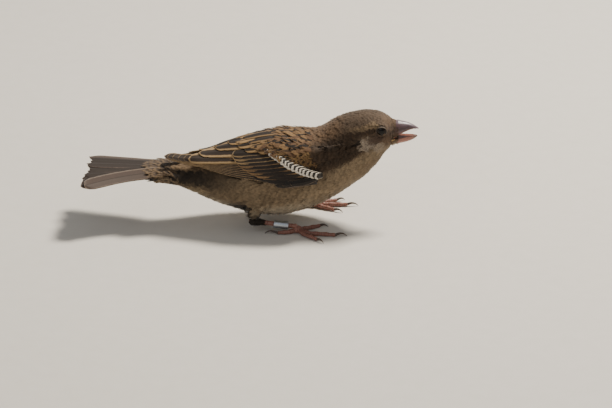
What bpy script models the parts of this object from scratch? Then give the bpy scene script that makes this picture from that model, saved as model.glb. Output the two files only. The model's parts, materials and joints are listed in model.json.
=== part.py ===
"""A female house sparrow feeding on the ground, life-size, as a set of closed solids.

Frame: +X towards the bill, +Y to the bird's left, +Z up, floor at Z = 0, in metres.
Sizes below are in millimetres and are turned to metres where a mesh is made.
"""
import math

import bmesh
import bpy
from mathutils import Matrix, Vector

MM = 0.001
GAP = 0.3                 # clearance between neighbouring solids
AROUND = 22               # points round a body section
RING_STEP = 3.0           # spacing of body sections
BOTH_SIDES = (("left", 1), ("right", -1))

# Body stations from the tail coverts to the bill base: the section's highest point (x, z),
# its lowest point (x, z), its half width, and how far it is egg-shaped (+ is wider above).
BODY = (
    (-42.0, 24.6, -42.0, 21.4, 11.4, 0.00),   # end of the tail coverts
    (-36.0, 26.2, -36.0, 19.2, 10.0, 0.00),
    (-30.0, 26.6, -30.0, 17.4, 9.4, 0.00),
    (-22.0, 29.4, -22.0, 13.6, 11.0, 0.00),   # rump
    (-12.0, 33.4, -12.0, 9.3, 14.0, 0.00),
    (0.0, 37.8, 0.0, 5.4, 16.3, 0.00),
    (13.0, 42.0, 13.0, 4.4, 17.3, -0.04),     # deepest part of the belly
    (24.0, 42.8, 25.0, 7.2, 16.8, -0.04),
    (29.0, 42.8, 35.5, 11.9, 15.0, -0.04),    # shoulders
    (33.0, 45.6, 42.0, 15.8, 13.2, -0.02),
    (37.5, 48.7, 48.5, 20.9, 11.6, 0.00),     # nape
    (42.5, 50.7, 53.0, 25.3, 10.6, 0.08),
    (48.0, 51.2, 56.3, 29.6, 9.9, 0.14),      # crown
    (52.8, 51.0, 58.3, 32.6, 9.1, 0.18),
    (56.6, 50.2, 59.9, 34.6, 7.9, 0.18),      # eyes
    (59.4, 48.9, 61.2, 35.8, 6.2, 0.12),
    (61.4, 47.3, 62.0, 36.3, 4.4, 0.05),      # base of the bill
)
RUMP_END, SHOULDER, NAPE = 3.0, 8.0, 10.5     # station numbers where the body is parted

# Left wing stations: x, then the upper edge (y, z), the lower edge (y, z), how far the
# section bulges outwards, and its thickness. The right wing is the mirror image.
WING = (
    (34.3, 14.6, 29.6, 15.0, 27.2, 0.3, 1.6),     # bend of the wing
    (32.0, 13.4, 35.0, 15.9, 25.6, 1.3, 3.0),
    (29.0, 11.6, 38.3, 17.2, 24.2, 2.3, 3.6),
    (22.0, 9.6, 40.7, 18.7, 22.8, 2.6, 4.0),
    (13.0, 8.0, 40.8, 19.1, 22.9, 2.5, 4.0),
    (4.0, 5.6, 39.3, 18.3, 25.4, 2.1, 3.4),
    (-6.0, 2.2, 37.4, 16.1, 26.4, 1.8, 2.0),
    (-16.0, 0.8, 34.6, 12.4, 28.3, 1.2, 1.4),
    (-22.0, 0.7, 33.4, 9.0, 29.3, 0.8, 1.3),
    (-26.6, 0.6, 32.9, 5.2, 30.6, 0.3, 1.0),      # tips of the tertials
)
COVERTS_END = 6.0                                 # station where the coverts give way
PRIMARIES = (
    (-15.0, 1.6, 32.9, 9.6, 28.6, 0.8, 0.9),
    (-22.0, 0.9, 31.8, 7.6, 28.8, 0.5, 0.9),
    (-27.5, 0.6, 31.8, 5.6, 29.5, 0.4, 0.9),
    (-33.0, 0.6, 31.9, 3.7, 30.2, 0.2, 0.8),
    (-36.4, 1.1, 31.2, 2.2, 30.7, 0.0, 0.6),      # wing tip
)
ARC_POINTS = 8                                    # points along a wing section

# Tail: each feather's tip across the bird, the pairs lying together as the fan opens.
TAIL_ROOT_X = -18.0
TAIL_START_X = -41.0
TAIL_LENGTH, TAIL_NOTCH, TAIL_SKEW = 53.4, 1.2, -0.07   # outer feathers reach further
TAIL_LEVEL = 23.3
TAIL_DROOP = 1.1                                  # outer feathers lie lower than the middle pair
TAIL_TIPS_Y = (-17.0, -15.2, -12.2, -10.6, -5.6, -4.0, 1.2, 2.6, 6.8, 8.4, 15.0, 16.6)
TAIL_FEATHER = (2.3, 4.4)                         # half width at the coverts and near the tip
TAIL_THICK = 0.8

# Bill: x, level of the upper and lower edge, half width.
UPPER_BILL = (
    (59.9, 40.9, 39.75, 4.3),     # corner of the mouth
    (61.3, 43.4, 40.2, 4.15),
    (62.4, 46.8, 40.7, 3.9),
    (64.6, 46.6, 41.7, 3.25),
    (67.5, 45.9, 42.8, 2.2),
    (70.0, 44.8, 43.25, 1.25),
    (72.2, 43.35, 42.95, 0.35),
)
LOWER_BILL = (
    (59.9, 39.2, 37.9, 4.2),
    (61.3, 39.3, 36.9, 3.95),
    (62.4, 39.4, 36.3, 3.6),
    (64.6, 39.6, 36.55, 2.9),
    (67.5, 39.95, 37.2, 1.95),
    (70.0, 40.1, 38.2, 1.1),
    (71.7, 40.05, 39.5, 0.35),
)
EYE_PLACE = (56.3, 5.2, 45.0)
EYE_RADIUS = 3.5

# Legs: heel, foot and where the feathered thigh enters the belly.
LEGS = {
    "left": {"hip": (14.5, 12.6, 18.0), "heel": (10.4, 14.4, 9.4), "foot": (27.6, 15.6, 2.3)},
    "right": {"hip": (4.6, -11.8, 17.0), "heel": (0.0, -12.8, 5.6), "foot": (20.4, -13.0, 3.0)},
}
THIGH_RADII = (5.6, 4.9, 3.4, 2.0)
TARSUS_RADIUS = 1.05
TOE_RADIUS = 1.0
# Toes: points that each passes on its way out, (x, y) from the foot, and the claw's end.
TOES = {
    "left": {
        "middle": ((5.2, 0.2), (14.6, 0.6), (19.2, 0.9)),
        "inner": ((3.6, -2.6), (9.0, -5.2), (12.4, -6.8)),
        "outer": ((4.0, 2.6), (10.0, 5.6), (13.4, 7.4)),
        "hind": ((-3.6, -0.9), (-7.6, -1.6), (-12.6, -2.6)),
    },
    "right": {
        "middle": ((5.0, -3.0), (16.4, -4.2), (21.2, -3.6)),
        "inner": ((4.4, 2.6), (9.8, 6.0), (13.2, 6.2)),
        "outer": ((3.4, -4.6), (8.6, -9.2), (11.2, -11.8)),
        "hind": ((-4.0, -1.7), (-8.6, -2.0), (-14.0, -1.0)),
    },
}
CLAW_RISE = 0.22          # as a share of the claw's length
CLAW_RADIUS = 0.62
CLAW_TIP = 0.2
PAD_RADIUS = 1.8

RING_AT, RING_LENGTH, RING_RADIUS, RING_WALL = 0.655, 6.2, 1.75, 0.35
RING_SEAM = 0.18

COLOURS = {               # sRGB hex, roughness, metallic
    "crown_feathers": ("6B5646", 0.75, 0.0),
    "breast_feathers": ("8A7A60", 0.8, 0.0),
    "wing_feathers": ("6A4A2C", 0.65, 0.0),
    "flight_feathers": ("4A3A2E", 0.6, 0.0),
    "upper_bill_horn": ("7C6468", 0.35, 0.0),
    "lower_bill_horn": ("A8806A", 0.35, 0.0),
    "claw_horn": ("3A2C26", 0.35, 0.0),
    "leg_scutes": ("9A5A48", 0.5, 0.0),
    "eye": ("120C08", 0.05, 0.0),
    "ring_aluminium": ("B9C3CC", 0.35, 1.0),
}


def clear_scene():
    for old in list(bpy.data.objects):
        bpy.data.objects.remove(old)


def linear(channel):
    return channel / 12.92 if channel <= 0.04045 else ((channel + 0.055) / 1.055) ** 2.4


def make_materials():
    made = {}
    for name, (code, rough, metal) in COLOURS.items():
        mat = bpy.data.materials.new(name)
        mat.use_nodes = True
        shader = mat.node_tree.nodes["Principled BSDF"]
        rgb = [linear(int(code[i:i + 2], 16) / 255) for i in (0, 2, 4)]
        shader.inputs["Base Color"].default_value = (*rgb, 1.0)
        shader.inputs["Roughness"].default_value = rough
        shader.inputs["Metallic"].default_value = metal
        made[name] = mat
    return made


def collection(name):
    made = bpy.data.collections.new(name)
    bpy.context.scene.collection.children.link(made)
    return made


clear_scene()
MATERIALS = make_materials()
SOLIDS = collection("house_sparrow")
CUTTERS = collection("cutters")


def place(name, mesh, material=None):
    """An object of a mesh in millimetres. With no material it is a cutter, which stays hidden."""
    mesh.transform(Matrix.Scale(MM, 4))
    thing = bpy.data.objects.new(name, mesh)
    if material is None:
        CUTTERS.objects.link(thing)
        thing.hide_render = True
        thing.display_type = "WIRE"
        return thing
    SOLIDS.objects.link(thing)
    mesh.materials.append(MATERIALS[material])
    mesh.shade_smooth()
    mesh.set_sharp_from_angle(angle=math.radians(40))
    return thing


def along(stations, t):
    """The values at station number t, on a smooth curve through the listed stations."""
    last = len(stations) - 1
    i = min(int(t), last - 1)
    f = t - i
    before, here, there, after = (stations[max(0, min(last, k))] for k in (i - 1, i, i + 1, i + 2))
    return [
        q + f * (r - p + f * (2 * p - 5 * q + 4 * r - s + f * (3 * q - p - 3 * r + s))) / 2
        if f else q
        for p, q, r, s in zip(before, here, there, after)
    ]


def loft(name, rings, material=None):
    """One closed solid through rings of equally many points, in millimetres."""
    bm = bmesh.new()
    rows = [[bm.verts.new(p) for p in ring] for ring in rings]
    count = len(rows[0])
    for row, following in zip(rows, rows[1:]):
        for k in range(count):
            n = (k + 1) % count
            bm.faces.new((row[k], row[n], following[n], following[k]))
    bm.faces.new(rows[0])
    bm.faces.new(rows[-1])
    bmesh.ops.recalc_face_normals(bm, faces=bm.faces)
    mesh = bpy.data.meshes.new(name)
    bm.to_mesh(mesh)
    bm.free()
    return place(name, mesh, material)


def steps(start, end, count):
    return [start + (end - start) * k / count for k in range(count + 1)]


def boolean(thing, operation, other):
    modifier = thing.modifiers.new(operation.lower() + "_" + other.name, "BOOLEAN")
    modifier.operation = operation
    modifier.object = other


def cut(thing, *cutters):
    for cutter in cutters:
        boolean(thing, "DIFFERENCE", cutter)


def join(thing, other):
    boolean(thing, "UNION", other)


# ---- body -------------------------------------------------------------------------------

def body_ring(t, grow=0.0):
    x_top, z_top, x_low, z_low, half_width, egg = along(BODY, t)
    top, low = Vector((x_top, 0, z_top)), Vector((x_low, 0, z_low))
    centre, up = (top + low) / 2, (top - low) / 2
    half_height = up.length
    up.normalize()
    ring = []
    for k in range(AROUND):
        turn = 2 * math.pi * k / AROUND
        y = (half_width + grow) * math.sin(turn) * (1 + egg * math.cos(turn))
        ring.append(centre + up * (half_height + grow) * math.cos(turn) + Vector((0, y, 0)))
    return ring


def body_length(start, end):
    places = [along(BODY, t) for t in steps(start, end, 24)]
    middles = [Vector(((p[0] + p[2]) / 2, (p[1] + p[3]) / 2)) for p in places]
    return sum((b - a).length for a, b in zip(middles, middles[1:]))


def body_piece(name, start, end, material, grow=0.0):
    count = max(3, round(body_length(start, end) / RING_STEP))
    rings = [body_ring(t, grow) for t in steps(start, end, count)]
    rings[0] = [p - Vector((grow, 0, 0)) for p in rings[0]]
    return loft(name, rings, material)


def part_gap(t):
    """GAP as a share of a station, so that two body pieces end that far apart."""
    return GAP / body_length(t - 0.5, t + 0.5)


def make_body():
    last = len(BODY) - 1
    body_piece("tail_base", 0, RUMP_END, "breast_feathers")
    body_piece("trunk", RUMP_END + part_gap(RUMP_END), SHOULDER, "breast_feathers")
    body_piece("neck", SHOULDER + part_gap(SHOULDER), NAPE, "breast_feathers")
    head = body_piece("head", NAPE + part_gap(NAPE), last, "crown_feathers")
    clearance = body_piece("body_clearance", 0, last, None, grow=GAP)
    return head, clearance


# ---- wings ------------------------------------------------------------------------------

def wing_ring(stations, t, side):
    """A curved strip from the upper edge to the lower one, thinnest at both edges."""
    x, y_top, z_top, y_low, z_low, bulge, thick = along(stations, t)
    top, low = Vector((0, y_top, z_top)), Vector((0, y_low, z_low))
    run = low - top
    out = Vector((0, -run.z, run.y)).normalized()
    outer, inner = [], []
    for k in range(ARC_POINTS + 1):
        f = k / ARC_POINTS
        swell = 4 * f * (1 - f)
        point = top + run * f + out * bulge * swell + Vector((x, 0, 0))
        outer.append(point)
        inner.append(point - out * thick * (0.35 + 0.65 * swell))
    return [Vector((p.x, p.y * side, p.z)) for p in outer + inner[::-1]]


def wing_piece(name, material, stations, start, end, count, side):
    rings = [wing_ring(stations, t, side) for t in steps(start, end, count)]
    return loft(name, rings, material)


def make_wings(clearance):
    """Coverts, the inner flight feathers behind them, and the long primaries under those."""
    last = len(WING) - 1
    for name, side in BOTH_SIDES:
        coverts = wing_piece(
            "wing_coverts_" + name, "wing_feathers", WING, 0, COVERTS_END, 14, side
        )
        secondaries = wing_piece(
            "secondaries_" + name, "flight_feathers", WING, COVERTS_END + 0.03, last, 8, side
        )
        primaries = wing_piece(
            "primaries_" + name, "flight_feathers", PRIMARIES, 0, len(PRIMARIES) - 1, 7, side
        )
        room = wing_piece(
            "secondaries_room_" + name, None, WING, COVERTS_END - 0.4, last, 8, side
        )
        room.location.z = -GAP * MM
        cut(coverts, clearance)
        cut(secondaries, clearance)
        cut(primaries, clearance, room)


# ---- tail -------------------------------------------------------------------------------

def tail_feather(name, tip_y, material=None):
    """A thin blade from the coverts to its rounded tip, tilted down towards its outer edge."""
    root = Vector((TAIL_ROOT_X, tip_y * 0.16, TAIL_LEVEL))
    share = abs(tip_y) / max(abs(y) for y in TAIL_TIPS_Y)
    length = TAIL_LENGTH + TAIL_NOTCH * share ** 2 + TAIL_SKEW * tip_y
    turn = math.asin((tip_y - root.y) / length)
    ahead = Vector((-math.cos(turn), math.sin(turn), 0))
    across = Vector((math.sin(turn), math.cos(turn), 0))
    start = (root.x - TAIL_START_X) / (ahead.x * -length)
    slender, broad = TAIL_FEATHER
    rings = []
    for f in (start, 0.62, 0.8, 0.92, 0.975, 1.0):
        half = slender + (broad - slender) * min(1, (f - start) / 0.3)
        half *= math.sqrt(max(0.05, 1 - max(0, (f - 0.86) / 0.145) ** 2))
        middle = root + ahead * length * f
        middle.z -= TAIL_DROOP * share ** 1.5 * (0.4 + 0.6 * f)
        edge = Vector((0, 0, -0.10 * half))
        up = Vector((0, 0, TAIL_THICK / 2))
        rings.append([
            middle + across * half + edge + up * 0.6,
            middle + up,
            middle - across * half + edge + up * 0.6,
            middle - across * half + edge - up * 0.6,
            middle - up,
            middle + across * half + edge - up * 0.6,
        ])
    return loft(name, rings, material)


def make_tail(clearance):
    middle_first = sorted(TAIL_TIPS_Y, key=abs)
    tail = tail_feather("tail", middle_first[0], "flight_feathers")
    for k, tip_y in enumerate(middle_first[1:]):
        join(tail, tail_feather(f"tail_feather_{k + 2}", tip_y))
    cut(tail, clearance)


# ---- head pieces ------------------------------------------------------------------------

def upper_bill_ring(x, top, low, half):
    """Rounded ridge above, hollow below so that the cutting edges are lowest."""
    middle, deep = (top + low) / 2, (top - low) / 2
    points = []
    for k in range(11):
        turn = math.pi * k / 10
        points.append((math.cos(turn) * half, -deep + 2 * deep * math.sin(turn) ** 0.85))
    points += [(-half * 0.45, -deep * 0.78), (half * 0.45, -deep * 0.78)]
    return [Vector((x, y, middle + z)) for y, z in points]


def lower_bill_ring(x, top, low, half):
    """The upper bill's section turned over."""
    return [Vector((x, p.y, top + low - p.z)) for p in upper_bill_ring(x, top, low, half)]


def bill(name, stations, ring, material=None, grow=0.0):
    last = len(stations) - 1
    rings = []
    for t in steps(0, last, 2 * last):
        x, top, low, half = along(stations, t)
        rings.append(ring(x, top + grow, low - grow, half + grow))
    rings[0] = [p - Vector((grow, 0, 0)) for p in rings[0]]
    return loft(name, rings, material)


def ball(name, centre, radius, segments, material=None):
    bm = bmesh.new()
    bmesh.ops.create_uvsphere(bm, u_segments=segments, v_segments=segments // 2 + 2, radius=radius)
    bmesh.ops.rotate(bm, verts=bm.verts, matrix=Matrix.Rotation(math.pi / 2, 3, "X"))
    bmesh.ops.translate(bm, verts=bm.verts, vec=Vector(centre))
    mesh = bpy.data.meshes.new(name)
    bm.to_mesh(mesh)
    bm.free()
    return place(name, mesh, material)


def make_head_pieces(head):
    bill("bill_upper", UPPER_BILL, upper_bill_ring, "upper_bill_horn")
    bill("bill_lower", LOWER_BILL, lower_bill_ring, "lower_bill_horn")
    upper_room = bill("bill_upper_room", UPPER_BILL, upper_bill_ring, grow=GAP)
    lower_room = bill("bill_lower_room", LOWER_BILL, lower_bill_ring, grow=GAP)
    cut(head, upper_room, lower_room)
    x, y, z = EYE_PLACE
    for name, side in BOTH_SIDES:
        ball("eye_" + name, (x, y * side, z), EYE_RADIUS, 14, "eye")
        cut(head, ball("eye_room_" + name, (x, y * side, z), EYE_RADIUS + GAP, 14))


# ---- legs and feet ----------------------------------------------------------------------

def tube(name, points, radii, material=None, sides=2):
    """A smooth round tube through the points, with its own radius at each, as a closed mesh."""
    curve = bpy.data.curves.new(name, "CURVE")
    curve.dimensions = "3D"
    curve.bevel_depth = MM
    curve.bevel_resolution = sides
    curve.use_fill_caps = True
    spline = curve.splines.new("POLY")
    spline.points.add(len(points) - 1)
    for slot, point, radius in zip(spline.points, points, radii):
        slot.co = (*(Vector(point) * MM), 1)
        slot.radius = radius
    guide = bpy.data.objects.new(name + "_line", curve)
    CUTTERS.objects.link(guide)
    bpy.context.view_layer.update()
    graph = bpy.context.evaluated_depsgraph_get()
    mesh = bpy.data.meshes.new_from_object(guide.evaluated_get(graph))
    bpy.data.objects.remove(guide)
    bm = bmesh.new()
    bm.from_mesh(mesh)
    bmesh.ops.remove_doubles(bm, verts=bm.verts, dist=1e-6)
    bmesh.ops.recalc_face_normals(bm, faces=bm.faces)
    bm.to_mesh(mesh)
    bm.free()
    mesh.transform(Matrix.Scale(1 / MM, 4))
    mesh.materials.clear()
    return place(name, mesh, material)


def curved(points, count):
    """count + 1 points on a smooth curve through the given ones."""
    last = len(points) - 1
    return [Vector(along([tuple(p) for p in points], t)) for t in steps(0, last, count)]


def toe_points(foot, knuckle, tip):
    low = TOE_RADIUS * 0.78
    start = Vector((foot.x, foot.y, low + 0.35))
    return curved((
        start,
        Vector((foot.x + knuckle[0], foot.y + knuckle[1], low + 0.15)),
        Vector((foot.x + tip[0], foot.y + tip[1], low * 0.86)),
    ), 8)


def toe_radii(count, joints=3):
    return [
        TOE_RADIUS * (1.1 - 0.32 * k / count) * (1 + 0.06 * math.cos(2 * math.pi * joints * k / count))
        for k in range(count + 1)
    ]


def claw(name, tip_end, claw_end):
    """Rises from the toe's end, curves over and comes down to its point."""
    start, end = Vector(tip_end), Vector(claw_end)
    points = []
    for k in range(7):
        f = k / 6
        lift = CLAW_RISE * (end - start).length * 4 * f * (1 - f) * (1 - 0.45 * f)
        points.append(start.lerp(end, f) + Vector((0, 0, lift)))
    radii = [CLAW_RADIUS + (CLAW_TIP - CLAW_RADIUS) * (k / 6) ** 1.2 for k in range(7)]
    return tube(name, points, radii, "claw_horn", sides=1)


def foot_pad(foot):
    return (foot.x, foot.y, PAD_RADIUS - 0.1)


def make_foot(side_name, foot, floor, pad_room):
    pad = ball("foot_" + side_name, foot_pad(foot), PAD_RADIUS, 10, "leg_scutes")
    for toe_name, (knuckle, tip, claw_tip) in TOES[side_name].items():
        points = toe_points(foot, knuckle, tip)
        label = f"{toe_name}_{side_name}"
        if toe_name == "hind":
            toe = tube("toe_" + label, points, toe_radii(8), "leg_scutes", sides=1)
            cut(toe, floor, pad_room)
        else:
            join(pad, tube("toe_" + label, points, toe_radii(8), sides=1))
        ahead = (points[-1] - points[-2]).normalized()
        start = points[-1] + ahead * GAP + Vector((0, 0, 0.12))
        end = Vector((foot.x + claw_tip[0], foot.y + claw_tip[1], CLAW_TIP + 0.05))
        claw("claw_" + label, start, end)
    cut(pad, floor)


def make_legs(clearance):
    bm = bmesh.new()
    bmesh.ops.create_cube(bm, size=200)
    bmesh.ops.translate(bm, verts=bm.verts, vec=(0, 0, -100))
    mesh = bpy.data.meshes.new("floor")
    bm.to_mesh(mesh)
    bm.free()
    floor = place("floor_level", mesh)
    for side_name, leg in LEGS.items():
        hip, heel, foot = (Vector(leg[k]) for k in ("hip", "heel", "foot"))
        down = (foot - heel).normalized()
        bend = heel + (hip - heel).normalized() * 1.4
        thigh = curved((hip, hip.lerp(bend, 0.55), bend), 6)
        last = len(THIGH_RADII) - 1
        radii = [along([(r,) for r in THIGH_RADII], last * k / 6)[0] for k in range(7)]
        cut(tube("thigh_" + side_name, thigh, radii, "breast_feathers", sides=3), clearance)
        shank = [heel.lerp(foot, f) for f in (0.0, 0.05, 0.12, 0.3, 0.7, 0.86)]
        shank[0] = heel - down * 0.4
        swell = (0.9, 1.45, 1.2, 1.0, 1.0, 1.12)
        tarsus = tube(
            "tarsus_" + side_name, shank, [TARSUS_RADIUS * s for s in swell], "leg_scutes", sides=2
        )
        thigh_room = tube("thigh_room_" + side_name, thigh, [r + GAP for r in radii], sides=3)
        pad_room = ball("pad_room_" + side_name, foot_pad(foot), PAD_RADIUS + GAP, 10)
        cut(tarsus, thigh_room, pad_room)
        make_foot(side_name, foot, floor, pad_room)


def make_ring():
    """An aluminium leg band on the right shank, with its butt seam underneath."""
    heel, foot = Vector(LEGS["right"]["heel"]), Vector(LEGS["right"]["foot"])
    down = (foot - heel).normalized()
    bm = bmesh.new()
    bmesh.ops.create_cone(
        bm, cap_ends=False, segments=24, radius1=RING_RADIUS * MM, radius2=RING_RADIUS * MM,
        depth=RING_LENGTH * MM,
    )
    mesh = bpy.data.meshes.new("leg_ring")
    bm.to_mesh(mesh)
    bm.free()
    mesh.transform(Matrix.Scale(1 / MM, 4))
    ring = place("leg_ring", mesh, "ring_aluminium")
    wall = ring.modifiers.new("wall", "SOLIDIFY")
    wall.thickness = RING_WALL * MM
    wall.offset = -1
    bm = bmesh.new()
    bmesh.ops.create_cube(bm, size=1)
    bmesh.ops.scale(bm, verts=bm.verts, vec=(RING_SEAM, RING_RADIUS * 2, RING_LENGTH * 1.4))
    bmesh.ops.translate(bm, verts=bm.verts, vec=(0, -RING_RADIUS, 0))
    mesh = bpy.data.meshes.new("ring_seam")
    bm.to_mesh(mesh)
    bm.free()
    seam = place("ring_seam", mesh)
    cut(ring, seam)
    for thing in (ring, seam):
        thing.rotation_mode = "QUATERNION"
        thing.rotation_quaternion = down.to_track_quat("Z", "Y")
        thing.location = heel.lerp(foot, RING_AT) * MM


# ---- whole bird -------------------------------------------------------------------------

def centre_on_floor():
    """Moves everything so that the origin is under the middle of the bird, on the floor."""
    bpy.context.view_layer.update()
    graph = bpy.context.evaluated_depsgraph_get()
    corners = [
        thing.matrix_world @ v.co
        for thing in SOLIDS.objects
        for v in thing.evaluated_get(graph).data.vertices
    ]
    lowest = [min(c[i] for c in corners) for i in range(3)]
    highest = [max(c[i] for c in corners) for i in range(3)]
    shift = Vector((
        -(lowest[0] + highest[0]) / 2, -(lowest[1] + highest[1]) / 2, -lowest[2]
    ))
    base = bpy.data.objects.new("sparrow_origin", None)
    SOLIDS.objects.link(base)
    base.location = shift
    for thing in (*SOLIDS.objects, *CUTTERS.objects):
        if thing is not base:
            thing.parent = base
    bpy.context.view_layer.update()


def main():
    head, clearance = make_body()
    make_wings(clearance)
    make_tail(clearance)
    make_head_pieces(head)
    make_legs(clearance)
    make_ring()
    centre_on_floor()


main()
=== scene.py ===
# %% [markdown]
# # A house sparrow, feather by feather
# This lesson dresses a set of plain solids as a female house sparrow, the way a museum model maker
# would: first a skin, then small body feathers laid on it from tail to head, then the big feathers
# of the wings and tail, and at last eyes, bill, legs and the metal ring that a bird ringer fitted.
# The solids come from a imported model, and they fix every size and place.

# %% Load the solids
import json
import math

import bmesh
import bpy
import numpy as np
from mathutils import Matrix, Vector
from mathutils.bvhtree import BVHTree
from mathutils.kdtree import KDTree

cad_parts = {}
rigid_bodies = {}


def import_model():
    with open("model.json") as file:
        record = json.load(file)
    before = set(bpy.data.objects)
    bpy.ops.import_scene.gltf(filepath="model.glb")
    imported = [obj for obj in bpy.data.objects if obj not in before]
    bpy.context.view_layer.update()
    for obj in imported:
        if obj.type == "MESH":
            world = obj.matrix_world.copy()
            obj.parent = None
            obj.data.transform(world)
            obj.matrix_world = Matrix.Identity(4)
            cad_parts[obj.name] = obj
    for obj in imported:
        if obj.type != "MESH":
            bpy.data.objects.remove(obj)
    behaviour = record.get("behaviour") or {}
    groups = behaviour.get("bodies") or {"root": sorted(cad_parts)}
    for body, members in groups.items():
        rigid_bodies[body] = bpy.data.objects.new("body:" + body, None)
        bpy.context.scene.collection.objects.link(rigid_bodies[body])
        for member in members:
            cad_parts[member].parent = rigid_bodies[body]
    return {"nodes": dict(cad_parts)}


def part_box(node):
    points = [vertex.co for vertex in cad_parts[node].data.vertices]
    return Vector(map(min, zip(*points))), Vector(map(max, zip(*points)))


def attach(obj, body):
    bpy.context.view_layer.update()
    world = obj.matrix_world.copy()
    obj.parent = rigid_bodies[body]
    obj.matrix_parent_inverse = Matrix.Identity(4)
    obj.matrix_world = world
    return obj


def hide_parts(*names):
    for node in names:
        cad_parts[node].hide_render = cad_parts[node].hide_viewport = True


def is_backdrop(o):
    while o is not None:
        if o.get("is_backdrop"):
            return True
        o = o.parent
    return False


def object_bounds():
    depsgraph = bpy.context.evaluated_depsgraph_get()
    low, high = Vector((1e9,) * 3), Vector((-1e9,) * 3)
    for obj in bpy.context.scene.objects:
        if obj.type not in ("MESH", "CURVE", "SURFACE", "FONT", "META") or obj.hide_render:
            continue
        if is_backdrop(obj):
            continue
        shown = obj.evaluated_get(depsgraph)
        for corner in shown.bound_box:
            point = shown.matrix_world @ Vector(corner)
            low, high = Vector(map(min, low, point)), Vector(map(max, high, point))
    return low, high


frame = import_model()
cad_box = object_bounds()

print("solids:", len(frame["nodes"]))

# %% [markdown]
# ## Working in millimetres on the bird's own midline
# A sparrow is easier to think about in millimetres. The stride pushes one foot further out than the
# other, so the middle of the model's box isn't the middle of the bird. Everything below is drawn
# with the bird's midline at y = 0, and one function moves a finished mesh to its place in metres.

# %% Units and the bird's midline
MM = 0.001
link = bpy.context.scene.collection.objects.link
SIDES = (("left", 1.0), ("right", -1.0))
midline = sum(sum(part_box("eye_" + name)[k].y for k in (0, 1)) / 4 for name, side in SIDES)
to_bird = np.array([0.0, -midline / MM, 0.0])


def node_mesh(*names):
    """The welded points and triangles of some CAD nodes, in millimetres on the bird's midline."""
    bm = bmesh.new()
    for name in names:
        bm.from_mesh(frame["nodes"][name].data)
    bmesh.ops.remove_doubles(bm, verts=bm.verts, dist=1e-7)
    points = np.array([v.co for v in bm.verts]) / MM + to_bird
    faces = [tuple(v.index for v in f.verts) for f in bm.faces]
    bm.free()
    return points, faces


def node_box(name):
    """The low and high corners of a CAD node's box, in the same frame."""
    low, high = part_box(name)
    return np.array(low) / MM + to_bird, np.array(high) / MM + to_bird


print("midline is", round(midline / MM, 2), "mm to the left of the origin")

# %% [markdown]
# ## Meshes, attributes and the map for the textures
# Feathers are many small sheets in one mesh. Colours and each point's place on its feather are
# stored as attributes, so that one material can draw thousands of different feathers. Every piece
# of coat also gets a map named OFBake, where a feather is a small patch at the place of its root.

# %% Turning arrays into objects
BODY = "root"
made_pieces = []


def make_piece(name, points, faces, material, slot, smooth=True):
    """A mesh object from millimetre points on the bird's midline, riding on the model's body."""
    mesh = bpy.data.meshes.new(name)
    mesh.from_pydata(((np.asarray(points) - to_bird) * MM).tolist(), [], faces)
    mesh.materials.append(material)
    if smooth:
        mesh.shade_smooth()
    piece = bpy.data.objects.new(name, mesh)
    link(piece)
    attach(piece, BODY)
    made_pieces.append(piece)
    return piece


def store(piece, name, values):
    """Keeps a colour (four columns) or a vector (three columns) for every point of a piece."""
    values = np.asarray(values, np.float32)
    if values.shape[1] == 4:
        attribute = piece.data.color_attributes.new(name, "FLOAT_COLOR", "POINT")
        attribute.data.foreach_set("color", values.ravel())
    else:
        attribute = piece.data.attributes.new(name, "FLOAT_VECTOR", "POINT")
        attribute.data.foreach_set("vector", values.ravel())


def store_feathers(piece, vane, size, marks, fringe, centre):
    """What the feather materials read: the place on the feather, its size, markings and colours."""
    store(piece, "vane", vane)
    store(piece, "size", size)
    store(piece, "marks", marks)
    store(piece, "fringe", fringe)
    store(piece, "centre", centre)


def store_map(piece, uv):
    """The OFBake map from one place for each point."""
    corners = np.empty(len(piece.data.loops), np.int32)
    piece.data.loops.foreach_get("vertex_index", corners)
    layer = piece.data.uv_layers.new(name="OFBake")
    layer.data.foreach_set("uv", np.clip(uv, 0.001, 0.999)[corners].astype(np.float32).ravel())


def lean_normals(piece, toward, share):
    """Turns the shading normals of a piece part of the way toward other directions."""
    own = np.empty(len(piece.data.vertices) * 3, np.float32)
    piece.data.vertex_normals.foreach_get("vector", own)
    own = own.reshape(-1, 3)
    own = own * np.sign((own * toward).sum(1) + 1e-9)[:, None]
    mixed = own * (1 - share) + toward * share
    mixed = mixed / np.linalg.norm(mixed, axis=1, keepdims=True)
    piece.data.normals_split_custom_set_from_vertices(mixed.tolist())


# %% [markdown]
# ## Colours and nodes
# Colours are written as the hex values a painter would read off a swatch (sRGB), and one function
# turns them into the linear values that the renderer works with. One more function adds a shader
# node with its settings and links, which keeps each material short enough to read as a recipe.

# %% Colour and node helpers


def linear(code):
    """An sRGB hex colour as linear red, green, blue and alpha."""
    values = np.array([int(code[i:i + 2], 16) for i in (0, 2, 4)]) / 255
    values = np.where(values <= 0.04045, values / 12.92, ((values + 0.055) / 1.055) ** 2.4)
    return np.append(values, 1.0)


def add(tree, kind, inputs=(), **settings):
    """A new shader node's outputs. Its inputs are values, hex colours or sockets to link."""
    made = tree.nodes.new("ShaderNode" + kind)
    for key, value in settings.items():
        setattr(made, key, value)
    for key, value in inputs.items() if isinstance(inputs, dict) else enumerate(inputs):
        if isinstance(value, bpy.types.NodeSocket):
            tree.links.new(value, made.inputs[key])
        else:
            made.inputs[key].default_value = linear(value) if isinstance(value, str) else value
    return made.outputs


MIXED = {"data_type": "RGBA"}  # settings of a node that mixes two colours
EASED = {"interpolation_type": "SMOOTHSTEP"}  # and of one that fades softly from 0 to 1


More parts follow.
